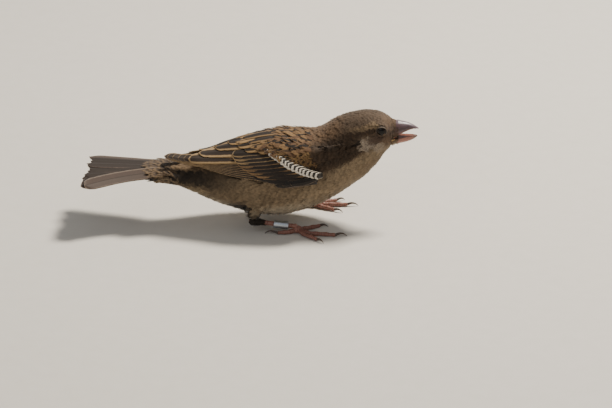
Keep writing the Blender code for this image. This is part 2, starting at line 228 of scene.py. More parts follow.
def new_material(name, **uniform):
    """A material whose even values sit on the shader's own sockets."""
    material = bpy.data.materials.new(name)
    material.use_nodes = True
    shader = material.node_tree.nodes["Principled BSDF"]
    for key, value in uniform.items():
        shader.inputs[key.replace("_", " ")].default_value = value
    return material, material.node_tree, shader


def finish(tree, shader, colour, height, strength, depth, invert=False):
    """Gives a shader its colour, and a fine relief of some millimetres' depth from height."""
    tree.links.new(colour, shader.inputs["Base Color"])
    relief = {"Strength": strength, "Distance": depth * MM, "Height": height}
    relief = add(tree, "Bump", relief, invert=invert)
    tree.links.new(relief[0], shader.inputs["Normal"])


# %% [markdown]
# ## Feather keratin
# A feather is keratin, like a fingernail, grown as a shaft with a row of fine barbs on each side.
# The barbs make it matte with a faint silky sheen, and pigment in them draws the markings: on a
# sparrow's back every feather has a dark centre and a pale fringe. The material reads two colours
# and the width of the dark centre from each feather, so it needs no painted texture. Real barbs
# are about 0.25 mm apart. They are drawn at 0.4 mm, so that some of the combed look survives in a render.

# %% Plumage material
BARB_SPACING = 0.4  # mm
TIP_CURVE = 0.7  # how far the pale tip's edge bends back beside the shaft, mm
TIP_BLUR = 0.3  # half the width of that edge's soft change, mm
STREAK_BLUR = 0.12  # the same for the dark centre's edge, as a share of the half width


def feather_material(name, roughness, sheen, barb_depth, slope, ragged_share, shaft):
    """slope: how far the barbs slant to the tip. ragged_share: how uneven the centre's edge is."""
    material, tree, shader = new_material(
        name, Roughness=roughness, Sheen_Weight=sheen, Sheen_Roughness=0.4, Specular_IOR_Level=0.3
    )
    keys = ("vane", "marks", "size", "fringe", "centre")
    stored = [add(tree, "Attribute", attribute_name=key) for key in keys]
    place, mark, extent = (add(tree, "SeparateXYZ", [made["Vector"]]) for made in stored[:3])
    fringe, centre = (made["Color"] for made in stored[3:])
    # the place on the feather, in millimetres
    across = add(tree, "Math", [place[0]], operation="ABSOLUTE")[0]
    along_mm = add(tree, "Math", [place[1], extent[1]], operation="MULTIPLY")[0]
    across_mm = add(tree, "Math", [across, extent[0]], operation="MULTIPLY")[0]
    # a dark centre with a ragged edge
    rag_place = add(tree, "CombineXYZ", {0: across_mm, 1: along_mm, 2: place[2]})
    rag_inputs = {"Vector": rag_place[0], "Scale": 1.1, "Detail": 3.0}
    rag = add(tree, "TexNoise", rag_inputs)[0]
    rag = add(tree, "Math", [rag, ragged_share, -ragged_share / 2], operation="MULTIPLY_ADD")[0]
    ragged = add(tree, "Math", [across, rag], operation="ADD")[0]
    inner = add(tree, "Math", [mark[0], STREAK_BLUR], operation="SUBTRACT")[0]
    outer = add(tree, "Math", [mark[0], STREAK_BLUR], operation="ADD")[0]
    beyond_streak = add(tree, "MapRange", [ragged, inner, outer], **EASED)[0]
    # a pale tip whose edge bends back beside the shaft
    past_tip = add(tree, "Math", [place[1], mark[1]], operation="SUBTRACT")[0]
    past_tip_mm = add(tree, "Math", [past_tip, extent[1]], operation="MULTIPLY")[0]
    bent_mm = add(tree, "Math", [ragged, TIP_CURVE, past_tip_mm], operation="MULTIPLY_ADD")[0]
    edge = TIP_CURVE * 0.5
    at_tip = add(tree, "MapRange", [bent_mm, edge - TIP_BLUR, edge + TIP_BLUR], **EASED)[0]
    pale = add(tree, "Math", [beyond_streak, at_tip], operation="MAXIMUM")[0]
    colour = add(tree, "Mix", {0: pale, 6: centre, 7: fringe}, **MIXED)[2]
    # barbs, and the clumps they stick together in
    rootward_mm = add(tree, "Math", [along_mm, -1.0], operation="MULTIPLY")[0]
    slant = add(tree, "Math", [across_mm, slope, rootward_mm], operation="MULTIPLY_ADD")[0]
    barb_turn = add(tree, "Math", [slant, 2 * math.pi / BARB_SPACING], operation="MULTIPLY")[0]
    comb = add(tree, "Math", [barb_turn], operation="SINE")[0]
    clump_across = add(tree, "Math", [slant, 2.6], operation="MULTIPLY")[0]
    clump_along = add(tree, "Math", [along_mm, 0.45], operation="MULTIPLY")[0]
    own_seed = add(tree, "Math", [place[2], 40.0], operation="MULTIPLY")[0]
    clump_inputs = {0: clump_across, 1: clump_along, 2: own_seed}
    clump_place = add(tree, "CombineXYZ", clump_inputs)[0]
    clumps = add(tree, "TexNoise", {"Vector": clump_place, "Scale": 1.0, "Detail": 2.0})[0]
    # painted shade in the gaps between barbs, with clumps and the feather's own chance as uneven tone, make
    # it lighter or darker
    barb_shade_and_tone = add(tree, "Math", [comb, 0.03, 0.72], operation="MULTIPLY_ADD")[0]
    barb_shade_and_tone = add(tree, "Math", [clumps, 0.38, barb_shade_and_tone], operation="MULTIPLY_ADD")[0]
    barb_shade_and_tone = add(tree, "Math", [place[2], 0.14, barb_shade_and_tone], operation="MULTIPLY_ADD")[0]
    grey = add(tree, "CombineXYZ", {0: barb_shade_and_tone, 1: barb_shade_and_tone, 2: barb_shade_and_tone})[0]
    colour = add(tree, "Mix", {0: 1.0, 6: colour, 7: grey}, blend_type="MULTIPLY", **MIXED)[2]
    if shaft:
        on_shaft = add(tree, "MapRange", [across_mm, 0.2, 0.1], **EASED)[0]
        shaft_share = add(tree, "Math", [on_shaft, 0.6], operation="MULTIPLY")[0]
        colour = add(tree, "Mix", {0: shaft_share, 6: colour, 7: "1E150F"}, **MIXED)[2]
    finish(tree, shader, colour, comb, 0.5, barb_depth)
    return material


contour_keratin = feather_material("contour_feather_keratin", 0.8, 0.2, 0.015, 1.5, 0.34, shaft=False)
vane_keratin = feather_material("flight_feather_keratin", 0.6, 0.15, 0.012, 0.8, 0.2, shaft=True)
print("feather materials:", contour_keratin.name, vane_keratin.name)

# %% [markdown]
# ## One skin under all the feathers
# A bird's skin is one thin, pinkish sheet. The solids show the outside of the plumage, so the skin
# is made from them: they are swollen until they touch, fused by a voxel remesh, smoothed, and then
# sunk by the depth of the coat, which is thin round the bill and the eyes and thick on the body.
# A remesh is the quickest way to lose the seams between many solids, and it gives even points,
# which also serve as the places where feathers can grow.

# %% Fusing the solids
FLESH = (
    "trunk", "neck", "head", "tail_base", "thigh_left", "thigh_right",
    "wing_coverts_left", "wing_coverts_right",
)
SWELL = 0.25  # mm, so that solids 0.3 mm apart run into each other
SKIN_VOXEL = 0.55  # mm between the points of the skin
SKIN_ROUNDING = 8  # smoothing passes
head_high = node_box("head")[1]
bill_low, bill_high = node_box("bill_upper")
jaw_high = node_box("bill_lower")[1]
eye_centre = {
    name: (node_box("eye_" + name)[0] + node_box("eye_" + name)[1]) / 2 for name, side in SIDES
}
eye_radius = (node_box("eye_left")[1] - node_box("eye_left")[0])[2] / 2
mouth_corner = np.array([bill_low[0] + 0.8, 0.0, (bill_low[2] + jaw_high[2]) / 2])


def swollen(name, swell):
    """A CAD node grown along its normals, so that neighbours overlap."""
    points, faces = node_mesh(name)
    mesh = bpy.data.meshes.new(name + "_swollen")
    mesh.from_pydata(points.tolist(), [], faces)
    normals = np.empty(len(points) * 3, np.float32)
    mesh.vertex_normals.foreach_get("vector", normals)
    mesh.vertices.foreach_set("co", (points + normals.reshape(-1, 3) * swell).ravel())
    return mesh


def fused(names, voxel, rounding, swell=0.0):
    """The nodes as one closed, smoothed mesh: its points, faces and normals."""
    bm = bmesh.new()
    for name in names:
        bm.from_mesh(swollen(name, swell))
    mesh = bpy.data.meshes.new("fused")
    bm.to_mesh(mesh)
    bm.free()
    helper = bpy.data.objects.new("fused", mesh)
    link(helper)
    remesh = helper.modifiers.new("voxels", "REMESH")
    remesh.mode = "VOXEL"
    remesh.voxel_size = voxel
    smooth = helper.modifiers.new("rounding", "SMOOTH")
    smooth.iterations = rounding
    graph = bpy.context.evaluated_depsgraph_get()
    result = bpy.data.meshes.new_from_object(helper.evaluated_get(graph))
    bpy.data.objects.remove(helper)
    return result


def mesh_arrays(mesh):
    """A mesh's points and point normals as two arrays."""
    points = np.empty(len(mesh.vertices) * 3, np.float32)
    normals = np.empty(len(mesh.vertices) * 3, np.float32)
    mesh.vertices.foreach_get("co", points)
    mesh.vertex_normals.foreach_get("vector", normals)
    return points.reshape(-1, 3).astype(float), normals.reshape(-1, 3).astype(float)


outside = fused(FLESH + ("eye_left", "eye_right"), SKIN_VOXEL, SKIN_ROUNDING, SWELL)
outer_points, outer_normals = mesh_arrays(outside)
print("points on the fused surface:", len(outer_points))

# %% [markdown]
# ## How deep the coat is
# Round the bill and the eyes the feathers are short bristles and the coat is half a millimetre
# deep. On the crown it is about a millimetre, and on the body nearly twice that. One rule gives the
# depth at any place, and it serves twice: it sinks the skin here, and later it says how high the
# feathers rise again.

# %% Coat depth
FACE_DEPTH, HEAD_DEPTH, BODY_DEPTH, THIGH_DEPTH = 0.45, 0.95, 1.7, 0.8  # mm
HEAD_START, HEAD_FULL = 38.0, 50.0  # x where the coat starts to thin, and where it is thin
# where the bare leg starts, and where it meets the foot
HEEL = {"left": np.array([10.4, 14.4, 9.4]), "right": np.array([0.0, -12.8, 5.6])}
FOOT = {"left": np.array([27.6, 15.6, 2.3]), "right": np.array([20.4, -13.0, 3.0])}


def ease(value, low, high):
    """0 below low and 1 above high, with a smooth change between. low may be the larger."""
    share = np.clip((value - low) / (high - low), 0.0, 1.0)
    return share * share * (3 - 2 * share)


gaze = {name: np.array([-0.06, side, -0.08]) / math.hypot(0.06, 1.0, 0.08) for name, side in SIDES}


def from_eye(points):
    """Distance to the middle of the nearer eye's opening."""
    place = eye_centre["left"] + gaze["left"] * (eye_radius - 0.4)
    mirrored = np.column_stack([points[:, 0], np.abs(points[:, 1]), points[:, 2]])
    return np.linalg.norm(mirrored - place, axis=1)


def to_cuff(points):
    """The way from each point to a place a little down the nearer bare leg, and how near its heel is."""
    ways, near = np.zeros(points.shape), np.full(len(points), 99.0)
    for name in HEEL:
        heel, foot = HEEL[name], FOOT[name]
        reach = np.linalg.norm(points - heel, axis=1)
        nearer = reach < near
        goal = heel + (foot - heel) * 0.16
        ways[nearer] = (goal - points)[nearer]
        near = np.minimum(near, reach)
    return ways, near


def coat_depth(points):
    """Millimetres from the skin to the surface of the plumage."""
    x = points[:, 0]
    depth = BODY_DEPTH + (HEAD_DEPTH - BODY_DEPTH) * ease(x, HEAD_START, HEAD_FULL)
    to_bill = np.linalg.norm((points - mouth_corner) * [1.0, 0.6, 0.6], axis=1)
    depth += (FACE_DEPTH - depth) * ease(to_bill, 7.0, 3.0)
    depth += (FACE_DEPTH - depth) * ease(from_eye(points), 4.5, 2.5)
    return depth + (THIGH_DEPTH - depth) * ease(to_cuff(points)[1], 7.5, 4.5)


print("coat from", round(float(coat_depth(outer_points).min()), 2), "to", BODY_DEPTH, "mm deep")

# %% [markdown]
# ## Sinking the skin
# The fused surface moves inward along its normals by the coat's depth. Each eye looks out to the
# side, and the skin is pressed in round it, so that the lids can lie on the ball. Where a wing lies
# on the back, and where the neck's side folds, the solids leave a groove. Relaxing the skin there,
# each point toward the mean of its neighbours, fills a groove and hardly shrinks the rest.

# %% Sinking and relaxing
RELAXING = 45  # passes
# the skin hugs the ball up to one angle from the gaze, and is left alone past the other
HUGGING, FREE = 0.72, 1.25
skin_points = outer_points - outer_normals * (coat_depth(outer_points) + SWELL)[:, None]
for name in eye_centre:
    from_centre = skin_points - eye_centre[name]
    far = np.linalg.norm(from_centre, axis=1)
    polar = np.arccos(np.clip((from_centre @ gaze[name]) / far, -1, 1))
    most = (eye_radius - 0.3) * (1 + 3 * ease(polar, HUGGING, FREE) ** 2) + 500 * (polar > FREE)
    skin_points = eye_centre[name] + from_centre * np.minimum(1.0, most / far)[:, None]


def relaxed(points, pairs, share, passes):
    """Each point is drawn toward the mean of its neighbours, by its own share, in every pass."""
    ends, starts = np.concatenate([pairs, pairs[:, ::-1]]).T
    neighbours = np.maximum(np.bincount(ends, minlength=len(points)), 1)
    for _ in range(passes):
        means = [np.bincount(ends, column[starts], len(points)) / neighbours for column in points.T]
        points = points + (np.column_stack(means) - points) * share[:, None]
    return points


pairs = np.array([tuple(e.vertices) for e in outside.edges])
on_trunk = ease(skin_points[:, 0], 38.0, 31.0) * ease(skin_points[:, 2], 13.0, 17.0)
on_neck = 0.9 * ease(skin_points[:, 0], 49.0, 43.0) * ease(skin_points[:, 2], 13.0, 17.0)
skin_points = relaxed(skin_points, pairs, np.maximum(on_trunk, on_neck), RELAXING)
outside.vertices.foreach_set("co", skin_points.ravel())
outside.update()
skin_points, skin_normals = mesh_arrays(outside)
skin_faces = [tuple(f.vertices) for f in outside.polygons]
print("skin sunk at", len(skin_points), "points")

# %% [markdown]
# ## The bird's own map
# Feathers lie from head to tail, so the useful map of a bird is a tube: how far along the body,
# and how far round it from the middle of the back. The tube's axis is measured from the skin.

# %% Along and round the body
axis_x = np.arange(math.floor(skin_points[:, 0].min()) + 1.0, skin_points[:, 0].max(), 2.0)
near_middle = np.abs(skin_points[:, 1]) < 2.5
slices = [skin_points[near_middle & (np.abs(skin_points[:, 0] - x) < 1.6)][:, 2] for x in axis_x]
axis_z = np.array([(heights.min() + heights.max()) / 2 for heights in slices])
axis_z = np.convolve(np.pad(axis_z, 2, "edge"), np.ones(5) / 5, "valid")


def round_body(points):
    """The angle from the middle of the back, positive on the bird's left, in radians."""
    return np.arctan2(points[:, 1], points[:, 2] - np.interp(points[:, 0], axis_x, axis_z))


def body_map(points):
    """A place for each point in the unit square: along the body and round it."""
    low_x, high_x = axis_x[0] - 2, axis_x[-1] + 2
    along = (points[:, 0] - low_x) / (high_x - low_x)
    return np.column_stack([0.02 + 0.96 * along, 0.5 + 0.48 * round_body(points) / math.pi])


print("axis runs at z", axis_z.round(1)[::6])

# %% [markdown]
# ## Markings of a female house sparrow
# She has no bib or chestnut nape. The crown is plain grey-brown, a buff stripe runs back from the
# eye over a dark one, the cheek is pale and finely barred, and the underside is greyish buff.
# Skin and feathers take their colours from the same list, so that no bare skin shines through.
# Each entry is a colour for the feather's fringe, one for its centre, how much of the feather the
# centre takes, and where it lies, as soft-edged limits along, round and up the bird. Some entries are
# painted shade: the darker side of the neck, the dark patch and band behind the cheek, the darkened
# throat and thigh, and the painted shadow that the wing casts on the rear flank.

# %% Colours of the body
MARK_DEPTH = 0.5  # how far the centres' colour goes from the fringe's
PALETTE = {
    "crown": ("564637", "31261D", 0.5),
    "forehead": ("65513F", "403126", 0.5),
    "nape": ("644E39", "3B2C1D", 0.5),
    # partly painted shade: the side of the neck and body is darker than the nape, where shade falls
    "neck_side_painted_shade": ("4C3C2D", "2C2118", 0.5),
    "brow": ("77644C", "584734", 0.4),
    "eye_stripe": ("3E2E20", "241911", 0.7),
    "lore": ("57463A", "352920", 0.6),
    "cheek": ("8E8172", "382C23", 0.5),
    # painted shade: the dark patch behind the cheek and the band at the neck's border
    "behind_cheek_painted_shade": ("36281B", "1F160E", 0.5),
    "chin": ("8C7A66", "74644F", 0.3),
    # partly painted shade: the throat is darkened where shade falls under the head
    "throat_with_painted_shade": ("6E5C45", "564634", 0.3),
    "breast": ("7D6C55", "67563F", 0.3),
    "belly": ("9E907B", "84745C", 0.25),
    "flank": ("6D5D48", "524331", 0.35),
    "vent": ("857459", "63523C", 0.35),
    "rump": ("705B42", "54422F", 0.45),
    "mantle": ("A47F4E", "2A1D12", 0.42),
    # painted shadow: the folded wing's shadow on the rear flank
    "painted_shadow_under_wing": ("271F16", "1A130E", 0.35),
    # painted shade: the thigh's feathers are darkened as if in the body's shade
    "thigh": ("241D15", "18120D", 0.4),
    "wing": ("5E452C", "35261A", 0.5),
}


def body_regions(points):
    """Each region's name and how strongly every point belongs to it, in painting order."""
    x, y, z = points.T
    side = np.abs(y)
    turn = np.degrees(np.abs(round_body(points)))
    eye_x, _, eye_z = eye_centre["left"]
    behind = eye_x - x
    stripe_z = eye_z + 0.7 - 0.12 * behind
    low_throat = ease(turn, 118.0, 140.0)
    yield "nape", np.ones(len(points))
    # the sides below the back, painted darker as painted shade
    yield "neck_side_painted_shade", ease(turn, 38.0, 60.0)
    yield "breast", ease(turn, 86.0, 106.0)
    yield "crown", ease(x, 39.0, 45.0) * ease(turn, 62.0, 50.0)
    yield "forehead", ease(x, eye_x + 0.5, eye_x + 3.5)
    # painted shade behind the cheek, and in a band along the neck's border with the back
    nape_fit = ((x - 40.5) / 10.5) ** 2 + ((z - 37.5 - 0.25 * (x - 40.5)) / 6.0) ** 2
    yield "behind_cheek_painted_shade", ease(nape_fit, 1.5, 0.3) * ease(side, 4.0, 6.0)
    collar = np.abs(x - 32.5 + 0.25 * (z - 30.0))
    yield "behind_cheek_painted_shade", 0.7 * ease(collar, 3.4, 0.8) * ease(z, 24.0, 31.0) * ease(side, 5.0, 8.0)
    yield "brow", (
        ease(np.abs(z - stripe_z - 1.7 + 0.05 * behind), 1.15, 0.45)
        * ease(behind, -0.5, 1.0) * ease(behind, 14.0, 8.0) * ease(side, 4.0, 6.0)
    )
    yield "eye_stripe", (
        ease(np.abs(z - stripe_z + 0.5), 1.25, 0.6)
        * ease(behind, -3.0, -1.5) * ease(behind, 15.0, 12.0) * ease(side, 4.0, 6.0)
    )
    # the throat, darkened partly as painted shade
    yield "throat_with_painted_shade", low_throat * ease(x, 46.0, 52.0)
    patchy = 0.28 * np.sin(2.3 * x + 1.1 * z) + 0.22 * np.sin(1.1 * x - 2.7 * z + 1.0)
    cheek_fit = ((behind - 4.7) / 4.0) ** 2 + ((z - eye_z + 5.3) / 3.0) ** 2 + patchy
    yield "cheek", ease(cheek_fit, 1.4, 0.3) * ease(side, 3.5, 5.5)
    front_fit = ((behind + 0.6) / 1.9) ** 2 + ((z - eye_z + 7.2) / 1.9) ** 2 + patchy
    yield "cheek", 0.8 * ease(front_fit, 1.4, 0.4) * ease(side, 2.5, 4.5)
    under_eye = ((behind - 0.6) / 3.4) ** 2 + ((z - eye_z + 3.7) / 1.5) ** 2 + patchy
    yield "lore", 0.85 * ease(under_eye, 1.4, 0.5) * ease(side, 3.5, 5.0)
    yield "lore", ease(behind, -2.6, -3.4) * ease(np.abs(z - eye_z + 1.6), 2.4, 1.2)
    yield "chin", ease(x, eye_x + 1.0, eye_x + 3.5) * ease(z, eye_z - 6.0, eye_z - 8.5)
    yield "belly", ease(turn, 112.0, 140.0) * ease(x, 34.0, 24.0)
    yield "flank", ease(x, 30.0, 22.0) * ease(turn, 132.0, 116.0) * ease(turn, 70.0, 78.0)
    yield "rump", ease(x, -4.0, -10.0) * ease(turn, 88.0, 72.0)
    yield "vent", ease(x, -8.0, -20.0) * ease(turn, 96.0, 112.0)
    yield "mantle", ease(x, 31.5, 29.0) * ease(x, -6.0, -2.0) * ease(turn, 46.0, 36.0)
    # painted shadow that the folded wing casts on the rear flank
    yield "painted_shadow_under_wing", ease(x, 8.0, -18.0) * ease(turn, 112.0, 88.0) * ease(turn, 50.0, 62.0)
    # the thigh, darkened as painted shade
    yield "thigh", ease(to_cuff(points)[1], 10.5, 6.5)


def body_colours(points):
    """Fringe colour, centre colour and centre width for feathers rooted at these points."""
    fringe = np.zeros((len(points), 4))
    centre = np.zeros((len(points), 4))
    width = np.zeros(len(points))
    for name, share in body_regions(points):
        edge, middle, part = PALETTE[name]
        fringe += (linear(edge) - fringe) * share[:, None]
        centre += (linear(middle) - centre) * share[:, None]
        width += (part - width) * share
    return fringe, fringe + (centre - fringe) * MARK_DEPTH, width


print("colour regions:", len(PALETTE))


# %% [markdown]
# ## The skin's finish
# Bird skin is thin and slightly waxy, with a pore for every feather. Little of it shows, only between
# feathers, so it takes its tone from the same list, painted darker than theirs as painted shade.
# Light sinks in a little way, which keeps it from looking like paint.

# %% Skin material and the skin piece
skin_material, tree, shader = new_material(
    "bird_skin", Roughness=0.65, Specular_IOR_Level=0.3, Subsurface_Weight=0.1, Subsurface_Scale=0.001
)
tone = add(tree, "Attribute", attribute_name="fringe")["Color"]
# pores are about 0.4 mm apart
pores = add(tree, "TexNoise", {"Scale": 2.5 / MM, "Detail": 4.0})[0]
dark_tone = add(tree, "Mix", {0: 1.0, 6: tone, 7: "9A8A80"}, blend_type="MULTIPLY", **MIXED)[2]
skin_tone = add(tree, "Mix", {0: pores, 6: dark_tone, 7: tone}, **MIXED)[2]
finish(tree, shader, skin_tone, pores, 0.6, 0.1)

skin = make_piece("skin", skin_points, skin_faces, skin_material, "breast_feathers")
skin_fringe, skin_centre, _ = body_colours(skin_points)
# painted shade: the skin's tone is the plumage's colour, darkened to about four fifths
store(skin, "fringe", skin_fringe * 0.45 + skin_centre * 0.35 + [0, 0, 0, 0.2])
store_map(skin, body_map(skin_points))
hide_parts(*FLESH)
print("skin:", len(skin_faces), "faces")

# %% [markdown]
# ## Which way the feathers lie
# Feathers point away from the bill, over the head and down the neck, and then along the body to
# the tail. They part in front of the eye and close again behind it, and on the thigh they point
# down the leg. At each root that direction is pressed flat onto the skin, so that a feather leaves
# the skin along it and not through it.

# %% The lie of the coat


def unit(vectors):
    """Vectors scaled to length 1."""
    return vectors / np.maximum(np.linalg.norm(vectors, axis=-1, keepdims=True), 1e-9)


def lie(points, normals, rng, wander=0.07):
    """The way each feather points, flat on the skin. wander is how unruly the coat is."""
    slope = np.interp(points[:, 0], axis_x, np.gradient(axis_z, axis_x))
    ones = np.ones(len(points))
    tailward = unit(np.column_stack([-ones, 0 * ones, -0.8 * slope]))
    off_bill = points - mouth_corner
    near_bill = ease(np.linalg.norm(off_bill, axis=1), 16.0, 6.0)[:, None]
    flow = tailward * (1 - near_bill) + unit(off_bill * [1.0, 0.8, 0.8]) * near_bill
    opening = eye_centre["left"] + gaze["left"] * (eye_radius - 0.4)
    off_eye = unit(points - opening * np.column_stack([ones, np.where(points[:, 1] < 0, -1.0, 1.0), ones]))
    into_eye = np.minimum((flow * off_eye).sum(1), 0) * ease(from_eye(points), 5.6, 3.4)
    flow = flow - off_eye * into_eye[:, None]
    ways, reach = to_cuff(points)
    on_leg = ease(reach, 8.5, 5.0)[:, None]
    flow = flow * (1 - on_leg) + unit(ways) * on_leg
    flow = flow + rng.normal(0.0, wander, flow.shape)
    return unit(flow - normals * (flow * normals).sum(1)[:, None])


# %% [markdown]
# ## Where feathers grow
# Feather roots are spaced evenly, close together on the face and further apart on the body. Points
# of the skin are taken in a random order, and each one that is kept rules out its neighbours.
# This is dart throwing, a simple way to get an even but irregular spread.

# %% Spreading roots


def spread(points, spacing, rng):
    """Which points to keep, so that none lies nearer to another than its own spacing."""
    tree = KDTree(len(points))
    for i, p in enumerate(points):
        tree.insert(p, i)
    tree.balance()
    free = np.ones(len(points), bool)
    kept = []
    for i in rng.permutation(len(points)):
        if not free[i]:
            continue
        kept.append(i)
        for _, j, _ in tree.find_range(points[i], spacing[i]):
            free[j] = False
    return np.array(kept)


# %% [markdown]
# ## The plan of a body feather
# A body feather is a small rounded vane. Towards its rim the barbs lose their hooks and hang loose,
# which makes plumage look soft. Hair strands would draw each barb and cost far too much, and a bare
# card would look like a fish scale. So each feather is a grid of six rows by five columns, with
# thirty fine slivers round its outer rim. All body feathers share this one flat plan.

# %% The plan
ROWS = np.array([0.0, 0.2, 0.42, 0.64, 0.84, 1.0])
COLUMNS = np.array([-1.0, -0.5, 0.0, 0.5, 1.0])
RIM = [(2, 0), (3, 0), (4, 0), (5, 0), (5, 1), (5, 2), (5, 3), (5, 4), (4, 4), (3, 4), (2, 4)]
GRID, BETWEEN, TIPS = 30, 20, 30  # points of the grid, between them along the rim, and barb tips
FIRST_TIP = GRID + BETWEEN
POINTS_EACH = FIRST_TIP + TIPS


def vane_profile(s):
    """Half width of a body feather along its length, as a share of the widest."""
    opening = 0.35 + 0.65 * np.sin(np.pi / 2 * np.minimum(s / 0.55, 1.0))
    return opening * np.sqrt(1 - (np.maximum(s - 0.55, 0.0) / 0.5) ** 2)


def feather_plan():
    """The flat plan that all body feathers share: its faces, and across and along for each point."""
    cells = [
        (r * 5 + c + 5, r * 5 + c + 6, r * 5 + c + 1, r * 5 + c) for r in range(5) for c in range(4)
    ]
    rim = [r * 5 + c for r, c in RIM]
    slivers = []
    for k in range(10):
        a, b, c, d = rim[k], GRID + 2 * k, GRID + 2 * k + 1, rim[k + 1]
        tip = FIRST_TIP + 3 * k
        slivers += [(b, a, tip), (c, b, tip + 1), (d, c, tip + 2)]
    grid_t = np.tile(COLUMNS, 6)
    grid_s = (ROWS[:, None] + 0.12 * (1 - COLUMNS ** 2) * (ROWS[:, None] == 1.0)).ravel()
    ends = [np.array([values[i] for i in rim]) for values in (grid_t, grid_s)]
    thirds, middles = np.array([1 / 3, 2 / 3]), np.array([1 / 6, 1 / 2, 5 / 6])
    plan = []
    for grid_values, v in zip((grid_t, grid_s), ends):
        step = np.diff(v)[:, None]
        plan.append(np.concatenate([
            grid_values, (v[:-1, None] + step * thirds).ravel(), (v[:-1, None] + step * middles).ravel()
        ]))
    return cells, slivers, plan[0], plan[1]


CELLS, SLIVERS, PLAN_T, PLAN_S = feather_plan()
print("one body feather:", 2 * len(CELLS) + len(SLIVERS), "triangles")

# %% [markdown]
# ## Thousands of body feathers
# A feather is sunk at its root and rises through the coat to the surface at its tip, so that it
# tiles over the next one like a roof shingle. Each point of the plan is dropped onto the skin and
# lifted again, which makes the feather hug the body. One that would have to fold or stretch is left
# out, since its neighbours cover the place. The shading normals lean toward the skin's own, because
# thousands of barbs shade a bird like one smooth form and not like tiles.

# %% Laying body feathers
TUFT_PATCH = 0.003  # size of one feather on the map
ROOT_DEPTH = 0.25  # how far a root is sunk in the skin, mm
LEAST_FACING, MOST_STRAIN = -0.45, 0.75  # beyond these a feather is folded or stretched


def drop_on_skin(points, tree):
    """The nearest place on the skin to each point, and the skin's normal there."""
    flat = points.reshape(-1, 3)
    places, normals = np.empty_like(flat), np.empty_like(flat)
    for i, p in enumerate(flat.tolist()):
        place, normal, _, _ = tree.find_nearest(p)
        places[i], normals[i] = place, normal
    return places.reshape(points.shape), normals.reshape(points.shape)


def body_feathers(name, roots, normals, look, slot, rng):
    """look has length, width, depth (mm), fluff (extra lift), barbs (length) and colours. It may have
    ahead (directions), over (the tree to lie on, or None to stay straight) and keep (a last rule)."""
    over = look.get("over", coat_tree)
    count = len(roots)
    length, width, depth = (np.broadcast_to(look[k], count) for k in ("length", "width", "depth"))
    length = (length * rng.uniform(0.85, 1.12, count))[:, None]
    width = (width * rng.uniform(0.9, 1.1, count))[:, None]
    ahead = look["ahead"] if "ahead" in look else lie(roots, normals, rng)
    sideways = np.cross(normals, ahead)
    t, s = PLAN_T[None], PLAN_S[None]
    out_along = s * length
    out_across = t * vane_profile(np.minimum(s, 1.0)) * width / 2
    reach = look["barbs"] * length * rng.uniform(0.35, 1.2, (count, TIPS))
    fan = t[:, FIRST_TIP:] * rng.uniform(0.15, 0.6, (count, TIPS))
    out_along[:, FIRST_TIP:] += reach * np.sqrt(1 - fan ** 2)
    out_across[:, FIRST_TIP:] += reach * fan
    points = (
        roots[:, None] + ahead[:, None] * out_along[..., None] + sideways[:, None] * out_across[..., None]
    )
    fringe, centre, part, tip = look["colours"]
    marks = np.column_stack([np.broadcast_to(part, count), np.broadcast_to(tip, count), np.zeros(count)])
    laid, up = (points, 0 * points + normals[:, None]) if over is None else drop_on_skin(points, over)
    laid = look["keep"](laid) if "keep" in look else laid
    strain = np.linalg.norm(laid - points, axis=2).max(1) / length[:, 0]
    flat = ((up * normals[:, None]).sum(-1) > LEAST_FACING).all(1) & (strain < MOST_STRAIN)
    points = laid
    everything = (roots, points, up, length, width, reach, depth, fringe, centre, marks)
    roots, points, up, length, width, reach, depth, fringe, centre, marks = (a[flat] for a in everything)
    count = len(roots)
    tip_lift = (depth * rng.uniform(0.85, 1.0 + look["fluff"], count))[:, None]
    lift = (tip_lift + ROOT_DEPTH) * np.minimum(s, 1.0) ** 0.8 - ROOT_DEPTH - 0.05 * width * t ** 2
    lift[:, FIRST_TIP:] -= 0.12 * reach
    points = points + up * lift[..., None]
    points = look["keep"](points) if "keep" in look else points
    first = np.arange(count)[:, None, None] * POINTS_EACH
    faces = (first + np.array(CELLS)[None]).reshape(-1, 4).tolist()
    faces += (first + np.array(SLIVERS)[None]).reshape(-1, 3).tolist()
    piece = make_piece(name, points.reshape(-1, 3), faces, contour_keratin, slot)
    lean_normals(piece, up.reshape(-1, 3), 0.8)
    chance = np.repeat(rng.uniform(0, 1, count), POINTS_EACH)
    across, along = np.tile(PLAN_T, count), np.tile(PLAN_S, count)
    vane = np.column_stack([across, along, chance])
    size = np.column_stack([width / 2, length, 0 * length])
    store_feathers(piece, vane, *(np.repeat(a, POINTS_EACH, 0) for a in (size, marks, fringe, centre)))
    place = np.column_stack([roots[:, 0], round_body(roots)])
    place = 0.03 + 0.94 * (place - place.min(0)) / np.ptp(place, 0)
    patch = np.column_stack([across / 2, along - 0.5]) * TUFT_PATCH
    store_map(piece, np.repeat(place, POINTS_EACH, 0) + patch)
    print(name + ":", count, "feathers,", (2 * len(CELLS) + len(SLIVERS)) * count, "triangles")


# %% [markdown]
# ## The body's coat, tract by tract
# Feathers grow in tracts, and they differ mostly in size: under 2 mm round the bill and the eyes,
# 3.5 mm on the crown, and 7 mm on the breast and belly. The folded wings carry feathers of their
# own, and the eye needs a clear opening, so no roots of these tracts are taken there. The skin has
# too few points for the smallest feathers, so roots are picked from two random places in each face.

# %% Roots for the body
rng = np.random.default_rng(7)


def tree_of(*names):
    """Some CAD nodes as a tree that can be asked for its nearest point or for a ray's hit."""
    points, faces = node_mesh(*names)
    return BVHTree.FromPolygons(points.tolist(), faces)


def with_skin(*names):
    """The skin and some CAD nodes as one tree, for feathers that reach past the skin's ends."""
    points, faces = node_mesh(*names)
    faces = [tuple(i + len(skin_points) for i in f) for f in faces]
    return BVHTree.FromPolygons(np.concatenate([skin_points, points]).tolist(), skin_faces + faces)


